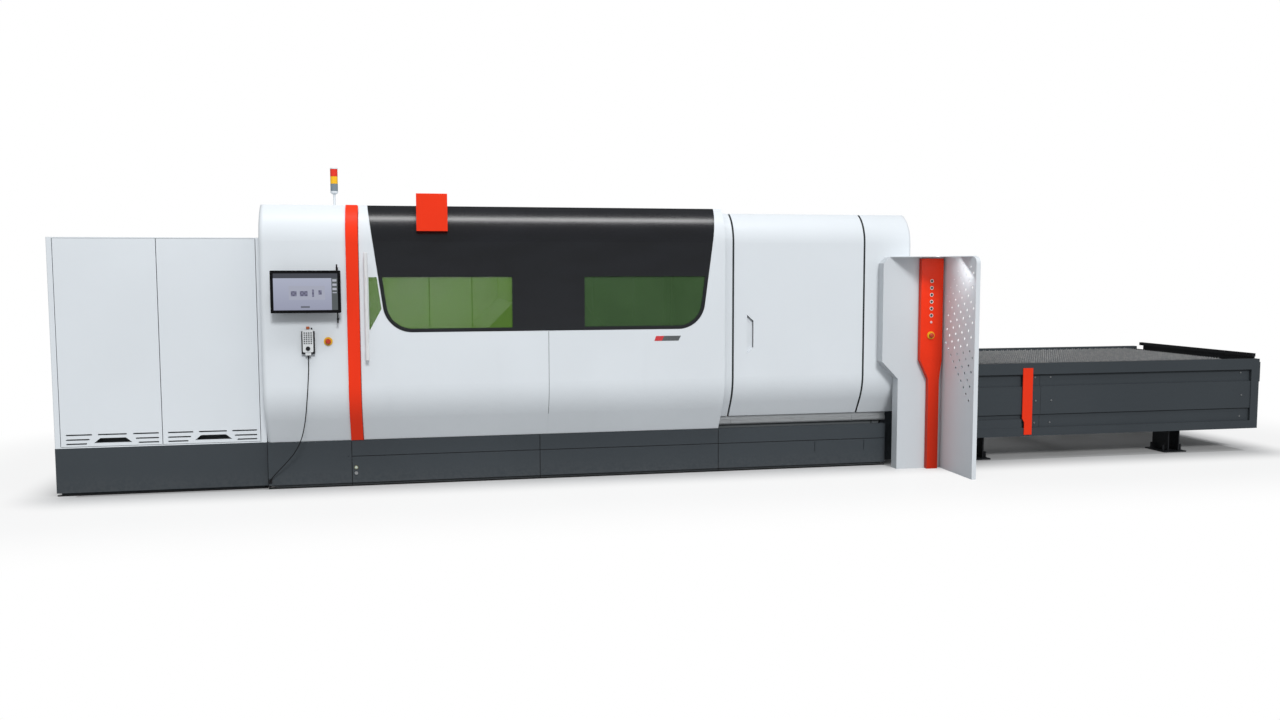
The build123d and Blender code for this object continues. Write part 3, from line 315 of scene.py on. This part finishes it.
whiteTone = (0.668, 0.704, 0.735)
darkTone = (0.046, 0.054, 0.061)
redTone = (0.80, 0.036, 0.008)
looks = {
    "whiteCoat": powderCoat("whiteCoat", whiteTone, 0.36, wear=0.02),
    # painted shade: the portal's left wing gets a darker copy of the white coat, standing in for the weaker
    # light on it
    "wingShadedCoat": powderCoat("wingShadedCoat", shade(whiteTone, 0.84), 0.4, wear=0.02),
    "darkCoat": powderCoat("darkCoat", darkTone, 0.46, wear=0.05, specular=0.25, foot=0.05),
    "blackCoat": powderCoat("blackCoat", (0.012, 0.013, 0.015), 0.42, wear=0.1, specular=0.3),
    # painted shade on the portal's column, darker towards the floor
    "columnShadedCoat": columnLook("columnShadedCoat", redTone, 0.38, 0.22, 0.62),
    "redCoat": powderCoat("redCoat", redTone, 0.38, wear=0.04, specular=0.22),
    "frameCoat": powderCoat("frameCoat", (0.10, 0.11, 0.115), 0.5, wear=0.12, specular=0.3),
    "bridgeCoat": powderCoat("bridgeCoat", (0.16, 0.17, 0.175), 0.45, wear=0.08),
    "innerCoat": powderCoat("innerCoat", (0.50, 0.53, 0.53), 0.5, wear=0.06),
    "railSteel": metal("railSteel", (0.55, 0.57, 0.58), 0.36, (0.05, 1, 1), metallic=0.6),
    "zincSteel": metal("zincSteel", (0.62, 0.63, 0.64), 0.34, (1, 1, 0.1), metallic=0.8),
    "headMetal": metal("headMetal", (0.70, 0.71, 0.73), 0.3, metallic=0.8),
    "handleMetal": metal("handleMetal", (0.86, 0.87, 0.88), 0.34, (1, 1, 0.05), metallic=0.25),
    "screwSteel": metal("screwSteel", (0.36, 0.37, 0.38), 0.4, scale=700, metallic=0.7),
    "slatSteel": slatLook("slatSteel"),
    "darkCover": darkSheet("darkCover", (0.0048, 0.0058, 0.0085), 0.24, 1.0),
    "panelGloss": darkSheet("panelGloss", (0.004, 0.004, 0.005), 0.25, 0.22),
    "greenPane": greenPane("greenPane", (0.095, 0.195, 0.030), 0.66),
    # painted shade: a darker copy of the green pane for the right window, standing in for the dimmer chamber
    # behind it
    "shadedPane": greenPane("shadedPane", (0.052, 0.105, 0.040), 0.66),
    "matBlack": plastic("matBlack", (0.014, 0.014, 0.016), 0.5, specular=0.35),
    "capGrey": plastic("capGrey", (0.045, 0.048, 0.052), 0.42, specular=0.4),
    "rubberBlack": plastic("rubberBlack", (0.010, 0.010, 0.011), 0.62, specular=0.3),
    "sealGrey": plastic("sealGrey", (0.030, 0.034, 0.037), 0.7, grain=500, strength=0.2, specular=0.25),
    "stopRed": plastic("stopRed", (0.50, 0.045, 0.018), 0.32, coat=0.2),
    "pendantStop": plastic("pendantStop", (0.42, 0.10, 0.03), 0.36, coat=0.1),
    "stopYellow": plastic("stopYellow", (0.80, 0.43, 0.015), 0.42),
    "ringCream": plastic("ringCream", (0.74, 0.73, 0.68), 0.36),
    "capPink": plastic("capPink", (0.70, 0.52, 0.50), 0.34),
    "lampPale": plastic("lampPale", (0.50, 0.56, 0.50), 0.2, coat=0.5),
    "olive": plastic("olive", (0.20, 0.20, 0.10), 0.5),
    "beacon": beaconLook("beacon", 2.526, 0.063),
    "pendantShell": pendantLook("pendantShell", -1.0183),
    "badge": badgeLook("badge", -0.640, 0.45, 1.222),
}

dress = {
    "whiteCoat": ["left_shell", "roof_panel", "right_end_wall", "right_post_panel", "right_end_panel",
                  "cabinet_shell", "cabinet_door_left", "cabinet_door_right", "front_door_panel", "side_door",
                  "portal_right_wing", "portal_canopy", "beacon_stem"],
    "wingShadedCoat": ["portal_left_wing"],
    "innerCoat": ["rear_panel"],
    "darkCoat": ["front_plinth", "cabinet_plinth", "table_frame"],
    "blackCoat": ["table_feet", "table_end_rail", "carriage", "lift_frame"],
    "redCoat": ["red_stripe_cover", "table_stripe", "sign_plate"],
    "columnShadedCoat": ["portal_column"],
    "frameCoat": ["machine_bed", "housing_frame", "laser_source"],
    "bridgeCoat": ["bridge_beam"],
    "railSteel": ["door_guide_rail", "bridge_rails"],
    "zincSteel": ["key_switch"],
    "headMetal": ["cutting_head"],
    "handleMetal": ["front_door_handle"],
    "slatSteel": ["pallet_outer", "pallet_inner"],
    "darkCover": ["front_door_glass"],
    "greenPane": ["window_left", "window_small"],
    "shadedPane": ["window_right"],
    "matBlack": ["monitor_arm", "pendant_holder", "pendant_dial", "cord_gland"],
    "panelGloss": ["monitor_case"],
    "capGrey": [f"portal_button_{n}" for n in range(1, 7)],
    "pendantShell": ["pendant_body"],
    "stopRed": ["panel_estop_button", "portal_estop_button"],
    "pendantStop": ["pendant_estop"],
    "stopYellow": ["estop_collars"],
    "capPink": ["portal_button_7"],
    "beacon": ["beacon_lenses"],
}
for lookName, names in dress.items():
    for name in names:
        data = nodes[name].data
        data.materials.clear()
        data.materials.append(looks[lookName].material)
print("CAD nodes dressed")


def finishPiece(mesh, name, lookName, body):
    mesh.name = name
    piece = bpy.data.objects.new(name, mesh)
    bpy.context.collection.objects.link(piece)
    mesh.materials.clear()
    mesh.materials.append(looks[lookName].material)
    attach(piece, body)


weldGap = 0.00001


def buildMesh(name, shape):
    work = bmesh.new()
    shape(work)
    bmesh.ops.remove_doubles(work, verts=work.verts, dist=weldGap)
    bmesh.ops.recalc_face_normals(work, faces=work.faces)
    mesh = bpy.data.meshes.new(name)
    work.to_mesh(mesh)
    work.free()
    return mesh


def shapePiece(name, shape, lookName, body):
    finishPiece(buildMesh(name, shape), name, lookName, body)


def bridgeLoops(work, low, high):
    count = len(low)
    for n in range(count):
        m = (n + 1) % count
        work.faces.new((low[n], low[m], high[m], high[n]))


def closeLoops(work, loops):
    for low, high in zip(loops, loops[1:]):
        bridgeLoops(work, low, high)
    work.faces.new(loops[0][::-1])
    work.faces.new(loops[-1])


def rectangle(left, right, low, high):
    return [(left, low), (right, low), (right, high), (left, high)]


# the outline of a plate, moved inwards by an even amount
def inset(outline, amount):
    count = len(outline)
    points = [Vector(p) for p in outline]
    area = sum(a.x * b.y - b.x * a.y for a, b in zip(points, points[1:] + points[:1]))
    side = math.copysign(1, area)
    moved = []
    for n in range(count):
        before = (points[n] - points[n - 1]).normalized()
        after = (points[(n + 1) % count] - points[n]).normalized()
        pushA = Vector((-before.y, before.x)) * side
        pushB = Vector((-after.y, after.x)) * side
        moved.append(points[n] + (pushA + pushB) * (amount / (1 + pushA.dot(pushB))))
    return moved


# a plate seen from the front, with its front edge bevelled
def bevelPlate(work, outline, back, front, cut):
    rows = ((outline, back), (outline, front + cut), (inset(outline, cut), front))
    closeLoops(work, [[work.verts.new((x, y, z)) for x, z in row] for row, y in rows])


roundSides = 32
roundAngles = [2 * math.pi * n / roundSides for n in range(roundSides)]


# a turned form: pairs of radius and push along the axis, closed at both ends
def turned(work, centre, axis, profile):
    turn = Vector((0, 0, 1)).rotation_difference(Vector(axis))
    loops = []
    for radius, push in profile:
        ring = [Vector((radius * math.cos(a), radius * math.sin(a), push)) for a in roundAngles]
        loops.append([work.verts.new(Vector(centre) + turn @ p) for p in ring])
    closeLoops(work, loops)


# a ring round the machine's depth axis: pairs of radius and push, with an open middle
def band(work, centre, profile):
    x, y, z = centre
    loops = []
    for radius, push in profile:
        ring = [(x + radius * math.cos(a), y + push, z + radius * math.sin(a)) for a in roundAngles]
        loops.append([work.verts.new(p) for p in ring])
    for low, high in zip(loops, loops[1:] + loops[:1]):
        bridgeLoops(work, low, high)


# a node tree that grows a repeated part on the places of a host mesh
class Growth:
    def __init__(self, name, knobs):
        self.tree = bpy.data.node_groups.new(name, "GeometryNodeTree")
        panel = self.tree.interface
        panel.new_socket("Geometry", in_out="INPUT", socket_type="NodeSocketGeometry")
        self.keys = {}
        for knob, value in knobs.items():
            kind = {int: "NodeSocketInt", float: "NodeSocketFloat"}[type(value)]
            self.keys[knob] = panel.new_socket(knob, in_out="INPUT", socket_type=kind).identifier
        self.knobs = knobs
        panel.new_socket("Geometry", in_out="OUTPUT", socket_type="NodeSocketGeometry")
        self.start = self.tree.nodes.new("NodeGroupInput")
        self.end = self.tree.nodes.new("NodeGroupOutput")

    def knob(self, name):
        return self.start.outputs[name]

    def add(self, kind, settings=None, inputs=None):
        node = self.tree.nodes.new(kind)
        for key, value in (settings or {}).items():
            setattr(node, key, value)
        for key, value in (inputs or {}).items():
            if isinstance(value, bpy.types.NodeSocket):
                self.tree.links.new(value, node.inputs[key])
            else:
                node.inputs[key].default_value = value
        return node.outputs

    def move(self, shape, **moves):
        return self.add("GeometryNodeTransform", inputs={"Geometry": shape, **moves})["Geometry"]

    def vector(self, **parts):
        return self.add("ShaderNodeCombineXYZ", inputs=parts)["Vector"]

    # one random number for each place, between two limits
    def draw(self, low, high):
        values = {2: low, 3: high, "Seed": self.knob("Seed")}
        return self.add("FunctionNodeRandomValue", {"data_type": "FLOAT"}, values)[1]

    def scatter(self, shape, **turns):
        values = {"Points": self.knob("Geometry"), "Instance": shape, **turns}
        return self.add("GeometryNodeInstanceOnPoints", inputs=values)["Instances"]

    def close(self, shape, material):
        whole = self.add("GeometryNodeRealizeInstances", inputs={"Geometry": shape})["Geometry"]
        values = {"Geometry": whole, "Material": material}
        painted = self.add("GeometryNodeSetMaterial", inputs=values)["Geometry"]
        self.tree.links.new(painted, self.end.inputs["Geometry"])

    def grow(self, name, places):
        host = bpy.data.meshes.new(name + "Places")
        host.from_pydata(places, [], [])
        holder = bpy.data.objects.new(name, host)
        bpy.context.collection.objects.link(holder)
        modifier = holder.modifiers.new("growth", "NODES")
        modifier.node_group = self.tree
        for knob, key in self.keys.items():
            modifier[key] = self.knobs[knob]
        graph = bpy.context.evaluated_depsgraph_get()
        mesh = bpy.data.meshes.new_from_object(holder.evaluated_get(graph))
        holder.modifiers.remove(modifier)
        bpy.data.objects.remove(holder)
        return mesh


# pendant cable, on the same route as the solid
cordSetup = {
    "points": [
        (-3.630, -1.000, 1.148), (-3.630, -1.000, 1.060), (-3.636, -0.998, 0.965), (-3.643, -0.995, 0.865),
        (-3.653, -0.989, 0.765), (-3.663, -0.980, 0.665), (-3.678, -0.966, 0.565), (-3.700, -0.944, 0.470),
        (-3.734, -0.920, 0.385), (-3.780, -0.892, 0.312), (-3.832, -0.866, 0.250), (-3.882, -0.842, 0.195),
        (-3.926, -0.820, 0.150), (-3.960, -0.803, 0.112), (-3.982, -0.792, 0.084),
    ],
    "radius": 0.004,
    "length": 1.193,
    "order": 3,
    "roundness": 4,
    "smoothness": 8,
}


def makeCord(s):
    curve = bpy.data.curves.new("pendantCable", "CURVE")
    curve.dimensions = "3D"
    spline = curve.splines.new("NURBS")
    spline.points.add(len(s["points"]) - 1)
    for point, place in zip(spline.points, s["points"]):
        point.co = (*place, 1)
    spline.order_u = s["order"]
    spline.use_endpoint_u = True
    curve.bevel_depth = s["radius"]
    curve.bevel_resolution = s["roundness"]
    curve.resolution_u = s["smoothness"]
    curve.use_fill_caps = True
    curve.materials.append(looks["rubberBlack"].material)
    cable = bpy.data.objects.new("pendantCable", curve)
    bpy.context.collection.objects.link(cable)
    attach(cable, "machine")
    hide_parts("pendant_cord")


makeCord(cordSetup)
print("cable laid")

# fields and boxes are shares of the screen's width and height
screenSetup = {
    "left": -3.881, "low": 1.523, "width": 0.502, "height": 0.297, "front": -1.0972, "depth": 0.0006,
    "gridScale": 60.0, "barScale": 9.0, "barCut": 0.45, "glow": 0.8,
    "fields": [
        ((0.24, 0.80, 0.28, 0.66), (0.44, 0.46, 0.56)),
        ((0.00, 1.00, 0.87, 1.00), (0.060, 0.065, 0.080)),
        ((0.905, 1.00, 0.00, 0.87), (0.10, 0.115, 0.12)),
        ((0.42, 0.56, 0.06, 0.11), (0.15, 0.16, 0.20)),
    ],
    "boxes": [
        (0.27, 0.36, 0.38, 0.52), (0.41, 0.53, 0.38, 0.52),
        (0.60, 0.63, 0.36, 0.56), (0.70, 0.75, 0.42, 0.54),
    ],
    "bars": (0.92, 0.985, 0.46, 0.84),
}


def makeScreen(s):
    looks["screen"] = screenLook("screen", s)
    outline = rectangle(s["left"], s["left"] + s["width"], s["low"], s["low"] + s["height"])
    depth = s["depth"]

    def shape(work):
        bevelPlate(work, outline, s["front"], s["front"] - depth, depth / 2)
    shapePiece("screenFace", shape, "screen", "monitor")


makeScreen(screenSetup)

# collar with a bevelled lip round each of the six grey portal buttons
ringSetup = {
    "x": 1.876, "y": -1.055, "top": 1.738, "pitch": 0.063, "count": 6,
    "inner": 0.0122, "outer": 0.0172, "depth": 0.003, "lip": 0.0009,
}


def makeRings(s):
    inner, outer, depth, lip = s["inner"], s["outer"], s["depth"], s["lip"]
    profile = [(outer, 0), (outer, -depth + lip), (outer - lip, -depth), (inner + lip, -depth),
               (inner, -depth + lip), (inner, 0)]

    def shape(work):
        for n in range(s["count"]):
            band(work, (s["x"], s["y"], s["top"] - s["pitch"] * n), profile)
    shapePiece("buttonRings", shape, "ringCream", "machine")


makeRings(ringSetup)

# rotary knob on top of the pendant and the tapered, ribbed cable guard under it
pendantSetup = {
    "knob": (-3.600, -1.000, 1.359),
    "knobProfile": [(0.0075, 0), (0.0078, 0.004), (0.0062, 0.006), (0.0062, 0.013), (0.0052, 0.016)],
    "guard": (-3.630, -1.000, 1.149),
    "guardProfile": [(0.0095, 0), (0.0095, 0.005), (0.0078, 0.007), (0.0084, 0.010), (0.0070, 0.013),
                     (0.0076, 0.016), (0.0062, 0.019), (0.0068, 0.022), (0.0056, 0.026), (0.0050, 0.031)],
}


def makePendantTrim(s):
    def shape(work):
        turned(work, s["knob"], (0, 0, 1), s["knobProfile"])
        turned(work, s["guard"], (0, 0, -1), s["guardProfile"])
    shapePiece("pendantTrim", shape, "matBlack", "machine")


makePendantTrim(pendantSetup)

# pilot lamp over the key switch: a pale dome in an olive bezel
lampSetup = {
    "place": (-3.282, -0.770, 0.160),
    "bezel": [(0.0165, 0), (0.0165, 0.002), (0.015, 0.0035), (0.0115, 0.0035), (0.0115, 0.0005)],
    "dome": [(0.0112, 0.0008), (0.0112, 0.004), (0.0100, 0.0062), (0.0070, 0.0078), (0.0035, 0.0085)],
}


def makeLamp(s):
    for name, lookName, slot in (("bezel", "olive", "black_plastic"), ("dome", "lampPale", "pale_plastic")):
        def shape(work):
            turned(work, s["place"], (0, -1, 0), s[name])
        shapePiece("pilotLamp" + name.capitalize(), shape, lookName, "machine")


makeLamp(lampSetup)

# bare slanted trim plate on the sliding door
badgeSetup = {
    "outline": [(-0.708, 1.222), (-0.490, 1.222), (-0.468, 1.265), (-0.692, 1.265)],
    "back": -0.9698, "front": -0.9722, "cut": 0.0009,
}


def makeBadge(s):
    def shape(work):
        bevelPlate(work, s["outline"], s["back"], s["front"], s["cut"])
    shapePiece("doorBadge", shape, "badge", "front_door")


makeBadge(badgeSetup)

# front of the housing: an upright between arcs, as centre Y, centre Z, radius and side, 1 for above
skinSetup = {"upright": -0.970, "arcs": [(-0.450, 0.880, 0.520, -1), (-0.590, 2.083, 0.380, 1)]}


def skinFront(z, deep, s):
    for y, middle, radius, side in s["arcs"]:
        if (z - middle) * side > 0:
            return y - math.sqrt(max((radius - deep) ** 2 - (z - middle) ** 2, 0))
    return s["upright"] + deep


# an upright strip behind the front, following its curve; section gives the strip's X and Y
def skinStrip(work, s, section):
    loops = []
    for n in range(s["steps"] + 1):
        z = s["low"] + (s["high"] - s["low"]) * n / s["steps"]
        near = skinFront(z, s["deep"], skinSetup)
        far = skinFront(z, s["deep"] + s["thick"], skinSetup)
        loops.append([work.verts.new((x, y, z)) for x, y in section(near, far)])
    closeLoops(work, loops)


# rubber seals in the two gaps beside the service door
sealSetup = {
    "gaps": [(0.0255, 0.0425), (1.2755, 1.2925)], "low": 0.512, "high": 2.346, "steps": 72,
    "deep": 0.086, "thick": 0.006, "bulge": 0.0025, "ridge": 0.004,
}


def makeSeals(s):
    def shape(work):
        for left, right in s["gaps"]:
            middle = (left + right) / 2

            def section(near, far):
                crest = near - s["bulge"]
                return [(left, near), (middle - s["ridge"], crest), (middle + s["ridge"], crest),
                        (right, near), (right, far), (left, far)]
            skinStrip(work, s, section)
    shapePiece("doorSeals", shape, "sealGrey", "machine")


makeSeals(sealSetup)
print("controls and trim made")

# socket screws on the table's front panels
screwSetup = {
    "rows": [(0.795, -0.740), (0.569, -0.762), (0.351, -0.745)],
    "columns": [3.138, 3.305, 5.443],
    "headSides": 28, "socketSides": 6, "fullTurn": 6.28,
    "knobs": {
        "Head Radius": 0.0085, "Head Height": 0.0050,
        "Socket Radius": 0.0042, "Socket Depth": 0.0030, "Seed": 7,
    },
}


def makeScrews(s):
    work = Growth("screwHeads", s["knobs"])

    def cylinder(sides, radius, depth):
        values = {"Vertices": sides, "Radius": work.knob(radius), "Depth": work.knob(depth)}
        return work.add("GeometryNodeMeshCylinder", inputs=values)["Mesh"]

    head = cylinder(s["headSides"], "Head Radius", "Head Height")
    cutter = cylinder(s["socketSides"], "Socket Radius", "Socket Depth")
    half = {0: work.knob("Head Height"), 1: 0.5}
    lift = work.vector(Z=work.add("ShaderNodeMath", {"operation": "MULTIPLY"}, half)["Value"])
    pair = {"Mesh 1": head, "Mesh 2": work.move(cutter, Translation=lift)}
    drilled = work.add("GeometryNodeMeshBoolean", {"operation": "DIFFERENCE"}, pair)["Mesh"]
    drilled = work.move(drilled, Translation=lift)
    faced = work.move(drilled, Rotation=(math.radians(90), 0, 0))
    grown = work.scatter(faced, Rotation=work.vector(Y=work.draw(0.0, s["fullTurn"])))
    work.close(grown, looks["screwSteel"].material)
    places = [(x, y, z) for z, y in s["rows"] for x in s["columns"]]
    finishPiece(work.grow("tableScrews", places), "tableScrews", "screwSteel", "machine")


makeScrews(screwSetup)

# teeth along the top of every cutting slat
toothSetup = {
    "pallets": [
        ("outerPalletTeeth", "outer_pallet", "pallet_outer"),
        ("innerPalletTeeth", "inner_pallet", "pallet_inner"),
    ],
    "pitch": 0.075, "gap": 0.040, "edge": 0.09, "rear": 0.06, "stand": 0.0005,
    "taper": 0.18, "worn": (0.72, 1.0),
    "knobs": {"Tooth Length": 0.026, "Tooth Thickness": 0.004, "Tooth Height": 0.014, "Seed": 11},
}


# one place for each tooth, in rows on the same grid as the pallet's slats
def toothPlaces(node, s):
    low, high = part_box(node)
    slats = int((high[0] - low[0] - 2 * s["edge"]) / s["pitch"]) + 1
    teeth = int((high[1] - low[1] - 2 * s["rear"] - s["gap"]) / s["gap"]) + 1
    middle = (low[0] + high[0]) / 2
    centre = (low[1] + high[1]) / 2
    along = [middle + (n - (slats - 1) / 2) * s["pitch"] for n in range(slats)]
    across = [centre + (m - (teeth - 1) / 2) * s["gap"] for m in range(teeth)]
    return [(x, y, high[2] + s["stand"]) for x in along for y in across]


def makeTeeth(s):
    work = Growth("slatTeeth", s["knobs"])
    # a cone with four sides, which is a unit square at its foot
    values = {"Vertices": 4, "Radius Top": s["taper"], "Radius Bottom": math.sqrt(0.5), "Depth": 1.0}
    cone = work.add("GeometryNodeMeshCone", inputs=values)["Mesh"]
    square = work.move(cone, Rotation=(0, 0, math.radians(45)))
    thick, long, high = (work.knob("Tooth " + side) for side in ("Thickness", "Length", "Height"))
    tooth = work.move(square, Scale=work.vector(X=thick, Y=long, Z=high))
    wear = work.vector(X=1.0, Y=1.0, Z=work.draw(*s["worn"]))
    work.close(work.scatter(tooth, Scale=wear), looks["slatSteel"].material)
    for name, body, node in s["pallets"]:
        finishPiece(work.grow(name, toothPlaces(node, s)), name, "slatSteel", body)


makeTeeth(toothSetup)

# upright panel joint of the table: low end, high end and the front it lies on
jointSetup = {
    "x": (3.1895, 3.1925),
    "stretches": [(0.306, 0.436, -0.745), (0.436, 0.709, -0.762), (0.709, 0.827, -0.740)],
    "short": 0.001, "sunk": 0.0005, "proud": 0.0008, "cut": 0.0005,
}


def makeJoint(s):
    def shape(work):
        for low, high, front in s["stretches"]:
            outline = rectangle(*s["x"], low + s["short"], high - s["short"])
            bevelPlate(work, outline, front + s["sunk"], front - s["proud"], s["cut"])
    shapePiece("tableJoint", shape, "blackCoat", "machine")


makeJoint(jointSetup)

# black lines where panels meet: where they run and the front that they lie on; the foot rows are painted
# shadow, black strips along the floor at the foot of the plinths
seamSetup = {
    "upright": [
        (-3.316, 0.012, 0.392, -0.770), (-1.702, 0.012, 0.392, -0.770), (-0.065, 0.012, 0.392, -0.770),
    ],
    "level": [
        (-3.312, 1.560, 0.258, -0.770), (1.760, 5.540, 0.8225, -0.740), (1.760, 5.540, 0.4325, -0.745),
    ],
    "foot": [(-4.002, 1.566, 0.006, -0.770), (-5.660, -4.014, 0.006, -0.720)],
    "half": 0.0022, "footHalf": 0.006, "floorGap": 0.0005,
    "sunk": 0.0005, "proud": 0.0008, "cut": 0.0004,
}


def makeSeams(s):
    def strip(work, left, right, low, high, front):
        outline = rectangle(left, right, low, high)
        bevelPlate(work, outline, front + s["sunk"], front - s["proud"], s["cut"])

    def shape(work):
        for x, low, high, front in s["upright"]:
            strip(work, x - s["half"], x + s["half"], low, high, front)
        for left, right, z, front in s["level"]:
            strip(work, left, right, z - s["half"], z + s["half"], front)
        # painted shadow: black strips along the floor under the front of the plinths
        for left, right, z, front in s["foot"]:
            strip(work, left, right, z - s["footHalf"] + s["floorGap"], z + s["footHalf"], front)
    shapePiece("panelSeams", shape, "rubberBlack", "machine")


makeSeams(seamSetup)

# thin joints of the lining at the back of the chamber
liningSetup = {
    "x": [-2.613, -2.163, -1.876], "half": 0.006, "low": 1.02, "high": 2.20,
    "front": 1.5285, "back": 1.5302, "cut": 0.0005,
}


def makeLiningJoints(s):
    def shape(work):
        for x in s["x"]:
            outline = rectangle(x - s["half"], x + s["half"], s["low"], s["high"])
            bevelPlate(work, outline, s["back"], s["front"], s["cut"])
    shapePiece("liningJoints", shape, "blackCoat", "machine")


makeLiningJoints(liningSetup)

# painted shade: a dark grey sheet on the shaded walls of the service door's grip pocket
gripSetup = {
    "outline": [(0.1665, 1.4375), (0.2245, 1.3845), (0.2245, 1.1455),
                (0.2230, 1.1455), (0.2230, 1.3838), (0.1665, 1.4355)],
    "front": -0.8893, "back": -0.8684,
}


def makeGripShade(s):
    def shape(work):
        rows = [[(x, y, z) for x, z in s["outline"]] for y in (s["front"], s["back"])]
        closeLoops(work, [[work.verts.new(p) for p in row] for row in rows])
    shapePiece("gripShade", shape, "capGrey", "side_door")


makeGripShade(gripSetup)

# grey filler in the groove between the two lower halves of the sliding door
grooveSetup = {
    "x": (-1.6408, -1.6372), "low": 0.404, "high": 1.318, "steps": 48,
    "deep": 0.0018, "thick": 0.0016,
}


def makeGroove(s):
    def shape(work):
        skinStrip(work, s, lambda near, far: rectangle(*s["x"], near, far))
    shapePiece("doorGroove", shape, "sealGrey", "front_door")


makeGroove(grooveSetup)
print("table detail and seams made")

# the floor turns into the white ground away from the machine
floorSetup = {
    "size": 60, "floor": (0.66, 0.66, 0.66), "shaded": (0.44, 0.44, 0.44), "bounce": (0.40, 0.405, 0.41),
    "halfLength": 5.5, "front": -0.77, "rear": 1.66, "shadeEdge": 0.02,
    "near": (-0.02, 0.6), "nearShare": 0.82, "far": (0.9, 2.4),
}


def makeFloor(s):
    work = bmesh.new()
    bmesh.ops.create_grid(work, x_segments=1, y_segments=1, size=s["size"])
    mesh = bpy.data.meshes.new("studioFloor")
    work.to_mesh(mesh)
    work.free()
    floor = bpy.data.objects.new("studioFloor", mesh)
    bpy.context.collection.objects.link(floor)
    look = Look("studioFloor")
    parts = look.add("SeparateXYZ", inputs=[look.place()])
    beside = abs(parts["X"]) - s["halfLength"]
    inFront = s["front"] - parts["Y"]
    behind = parts["Y"] - s["rear"]
    beside = beside.maths("MAXIMUM", beside, 0.0)
    along = inFront.maths("MAXIMUM", inFront, behind)
    along = along.maths("MAXIMUM", along, 0.0)
    reach = beside * beside + along * along
    reach = reach.maths("SQRT", reach)
    away = look.span(reach, *s["near"], 0.0, s["nearShare"])
    away = away + look.span(reach, *s["far"], 0.0, 1 - s["nearShare"])
    seen = look.add("LightPath")["Is Camera Ray"]
    scuff = look.span(look.noise(1.4, 4), 0.3, 0.7, 0.42, 0.5)
    # painted shadow: the floor's colour is darker inside the machine's footprint, which shows under the table
    shown = look.mix(look.span(reach, 0.0, s["shadeEdge"]), s["shaded"], s["floor"])
    look.base(Base_Color=look.mix(seen, s["bounce"], shown), Roughness=scuff, Specular_IOR_Level=0.2)
    glow = look.add("Emission", inputs={"Color": (1, 1, 1), "Strength": 1.0})["Emission"]
    mixed = look.add("MixShader", inputs=[away * seen, Sock(look, look.shader.outputs[0]), glow])
    look.tree.links.new(mixed["Shader"].out, look.tree.nodes["Material Output"].inputs["Surface"])
    mesh.materials.append(look.material)


# the camera sees white, mirrors see a dim ground, and the rest is lit by a soft cool tone
worldSetup = {"tone": (0.94, 0.97, 1.0), "strength": 0.52, "mirrored": 0.24}


def makeWorld(s):
    world = bpy.data.worlds.new("studio")
    bpy.context.scene.world = world
    world.use_nodes = True
    tree = world.node_tree
    soft = tree.nodes["Background"]
    soft.inputs["Color"].default_value = (*s["tone"], 1)
    soft.inputs["Strength"].default_value = s["strength"]
    white = tree.nodes.new("ShaderNodeBackground")
    white.inputs["Color"].default_value = (1, 1, 1, 1)
    dim = tree.nodes.new("ShaderNodeBackground")
    dim.inputs["Strength"].default_value = s["mirrored"]
    path = tree.nodes.new("ShaderNodeLightPath")
    last = soft
    for ray, ground in (("Is Glossy Ray", dim), ("Is Camera Ray", white)):
        share = tree.nodes.new("ShaderNodeMixShader")
        tree.links.new(path.outputs[ray], share.inputs[0])
        tree.links.new(last.outputs[0], share.inputs[1])
        tree.links.new(ground.outputs[0], share.inputs[2])
        last = share
    tree.links.new(last.outputs[0], tree.nodes["World Output"].inputs["Surface"])


def addLamp(name, s):
    data = bpy.data.lights.new(name, s["kind"])
    data.energy = s["power"]
    if s["kind"] == "AREA":
        data.shape = "RECTANGLE"
        data.size, data.size_y = s["size"]
    else:
        data.angle = math.radians(s["size"])
    lamp = bpy.data.objects.new(name, data)
    lamp.location = s["place"]
    lamp.visible_camera = False
    lamp.visible_glossy = s.get("mirrored", True)
    aim = Vector(s["target"]) - Vector(s["place"])
    lamp.rotation_euler = aim.to_track_quat("-Z", "Y").to_euler()
    bpy.context.collection.objects.link(lamp)


# a sun's size is its angle in degrees, an area lamp's is its sides in metres
lampSettings = {
    "key": {
        "kind": "SUN", "place": (0.87, -8.24, 6.59), "target": (0, 0, 1),
        "size": 13, "power": 1.9, "mirrored": False},
    "strip": {
        "kind": "AREA", "place": (-2.0, -3.9, 8.3), "target": (-2.0, -0.9, 2.2),
        "size": (8.5, 1.2), "power": 235},
    "canopyFill": {
        "kind": "AREA", "place": (1.88, -1.38, 1.93), "target": (1.88, -1.06, 1.45),
        "size": (0.2, 0.5), "power": 1.1, "mirrored": False},
    "inside": {
        "kind": "AREA", "place": (-2.5, 0.5, 2.2), "target": (-2.5, 0.5, 0),
        "size": (1.8, 0.5), "power": 38},
}
bpy.context.scene.view_settings.view_transform = "Standard"
makeFloor(floorSetup)
makeWorld(worldSetup)
for name, lamp in lampSettings.items():
    addLamp(name, lamp)
print("stage and lamps set")
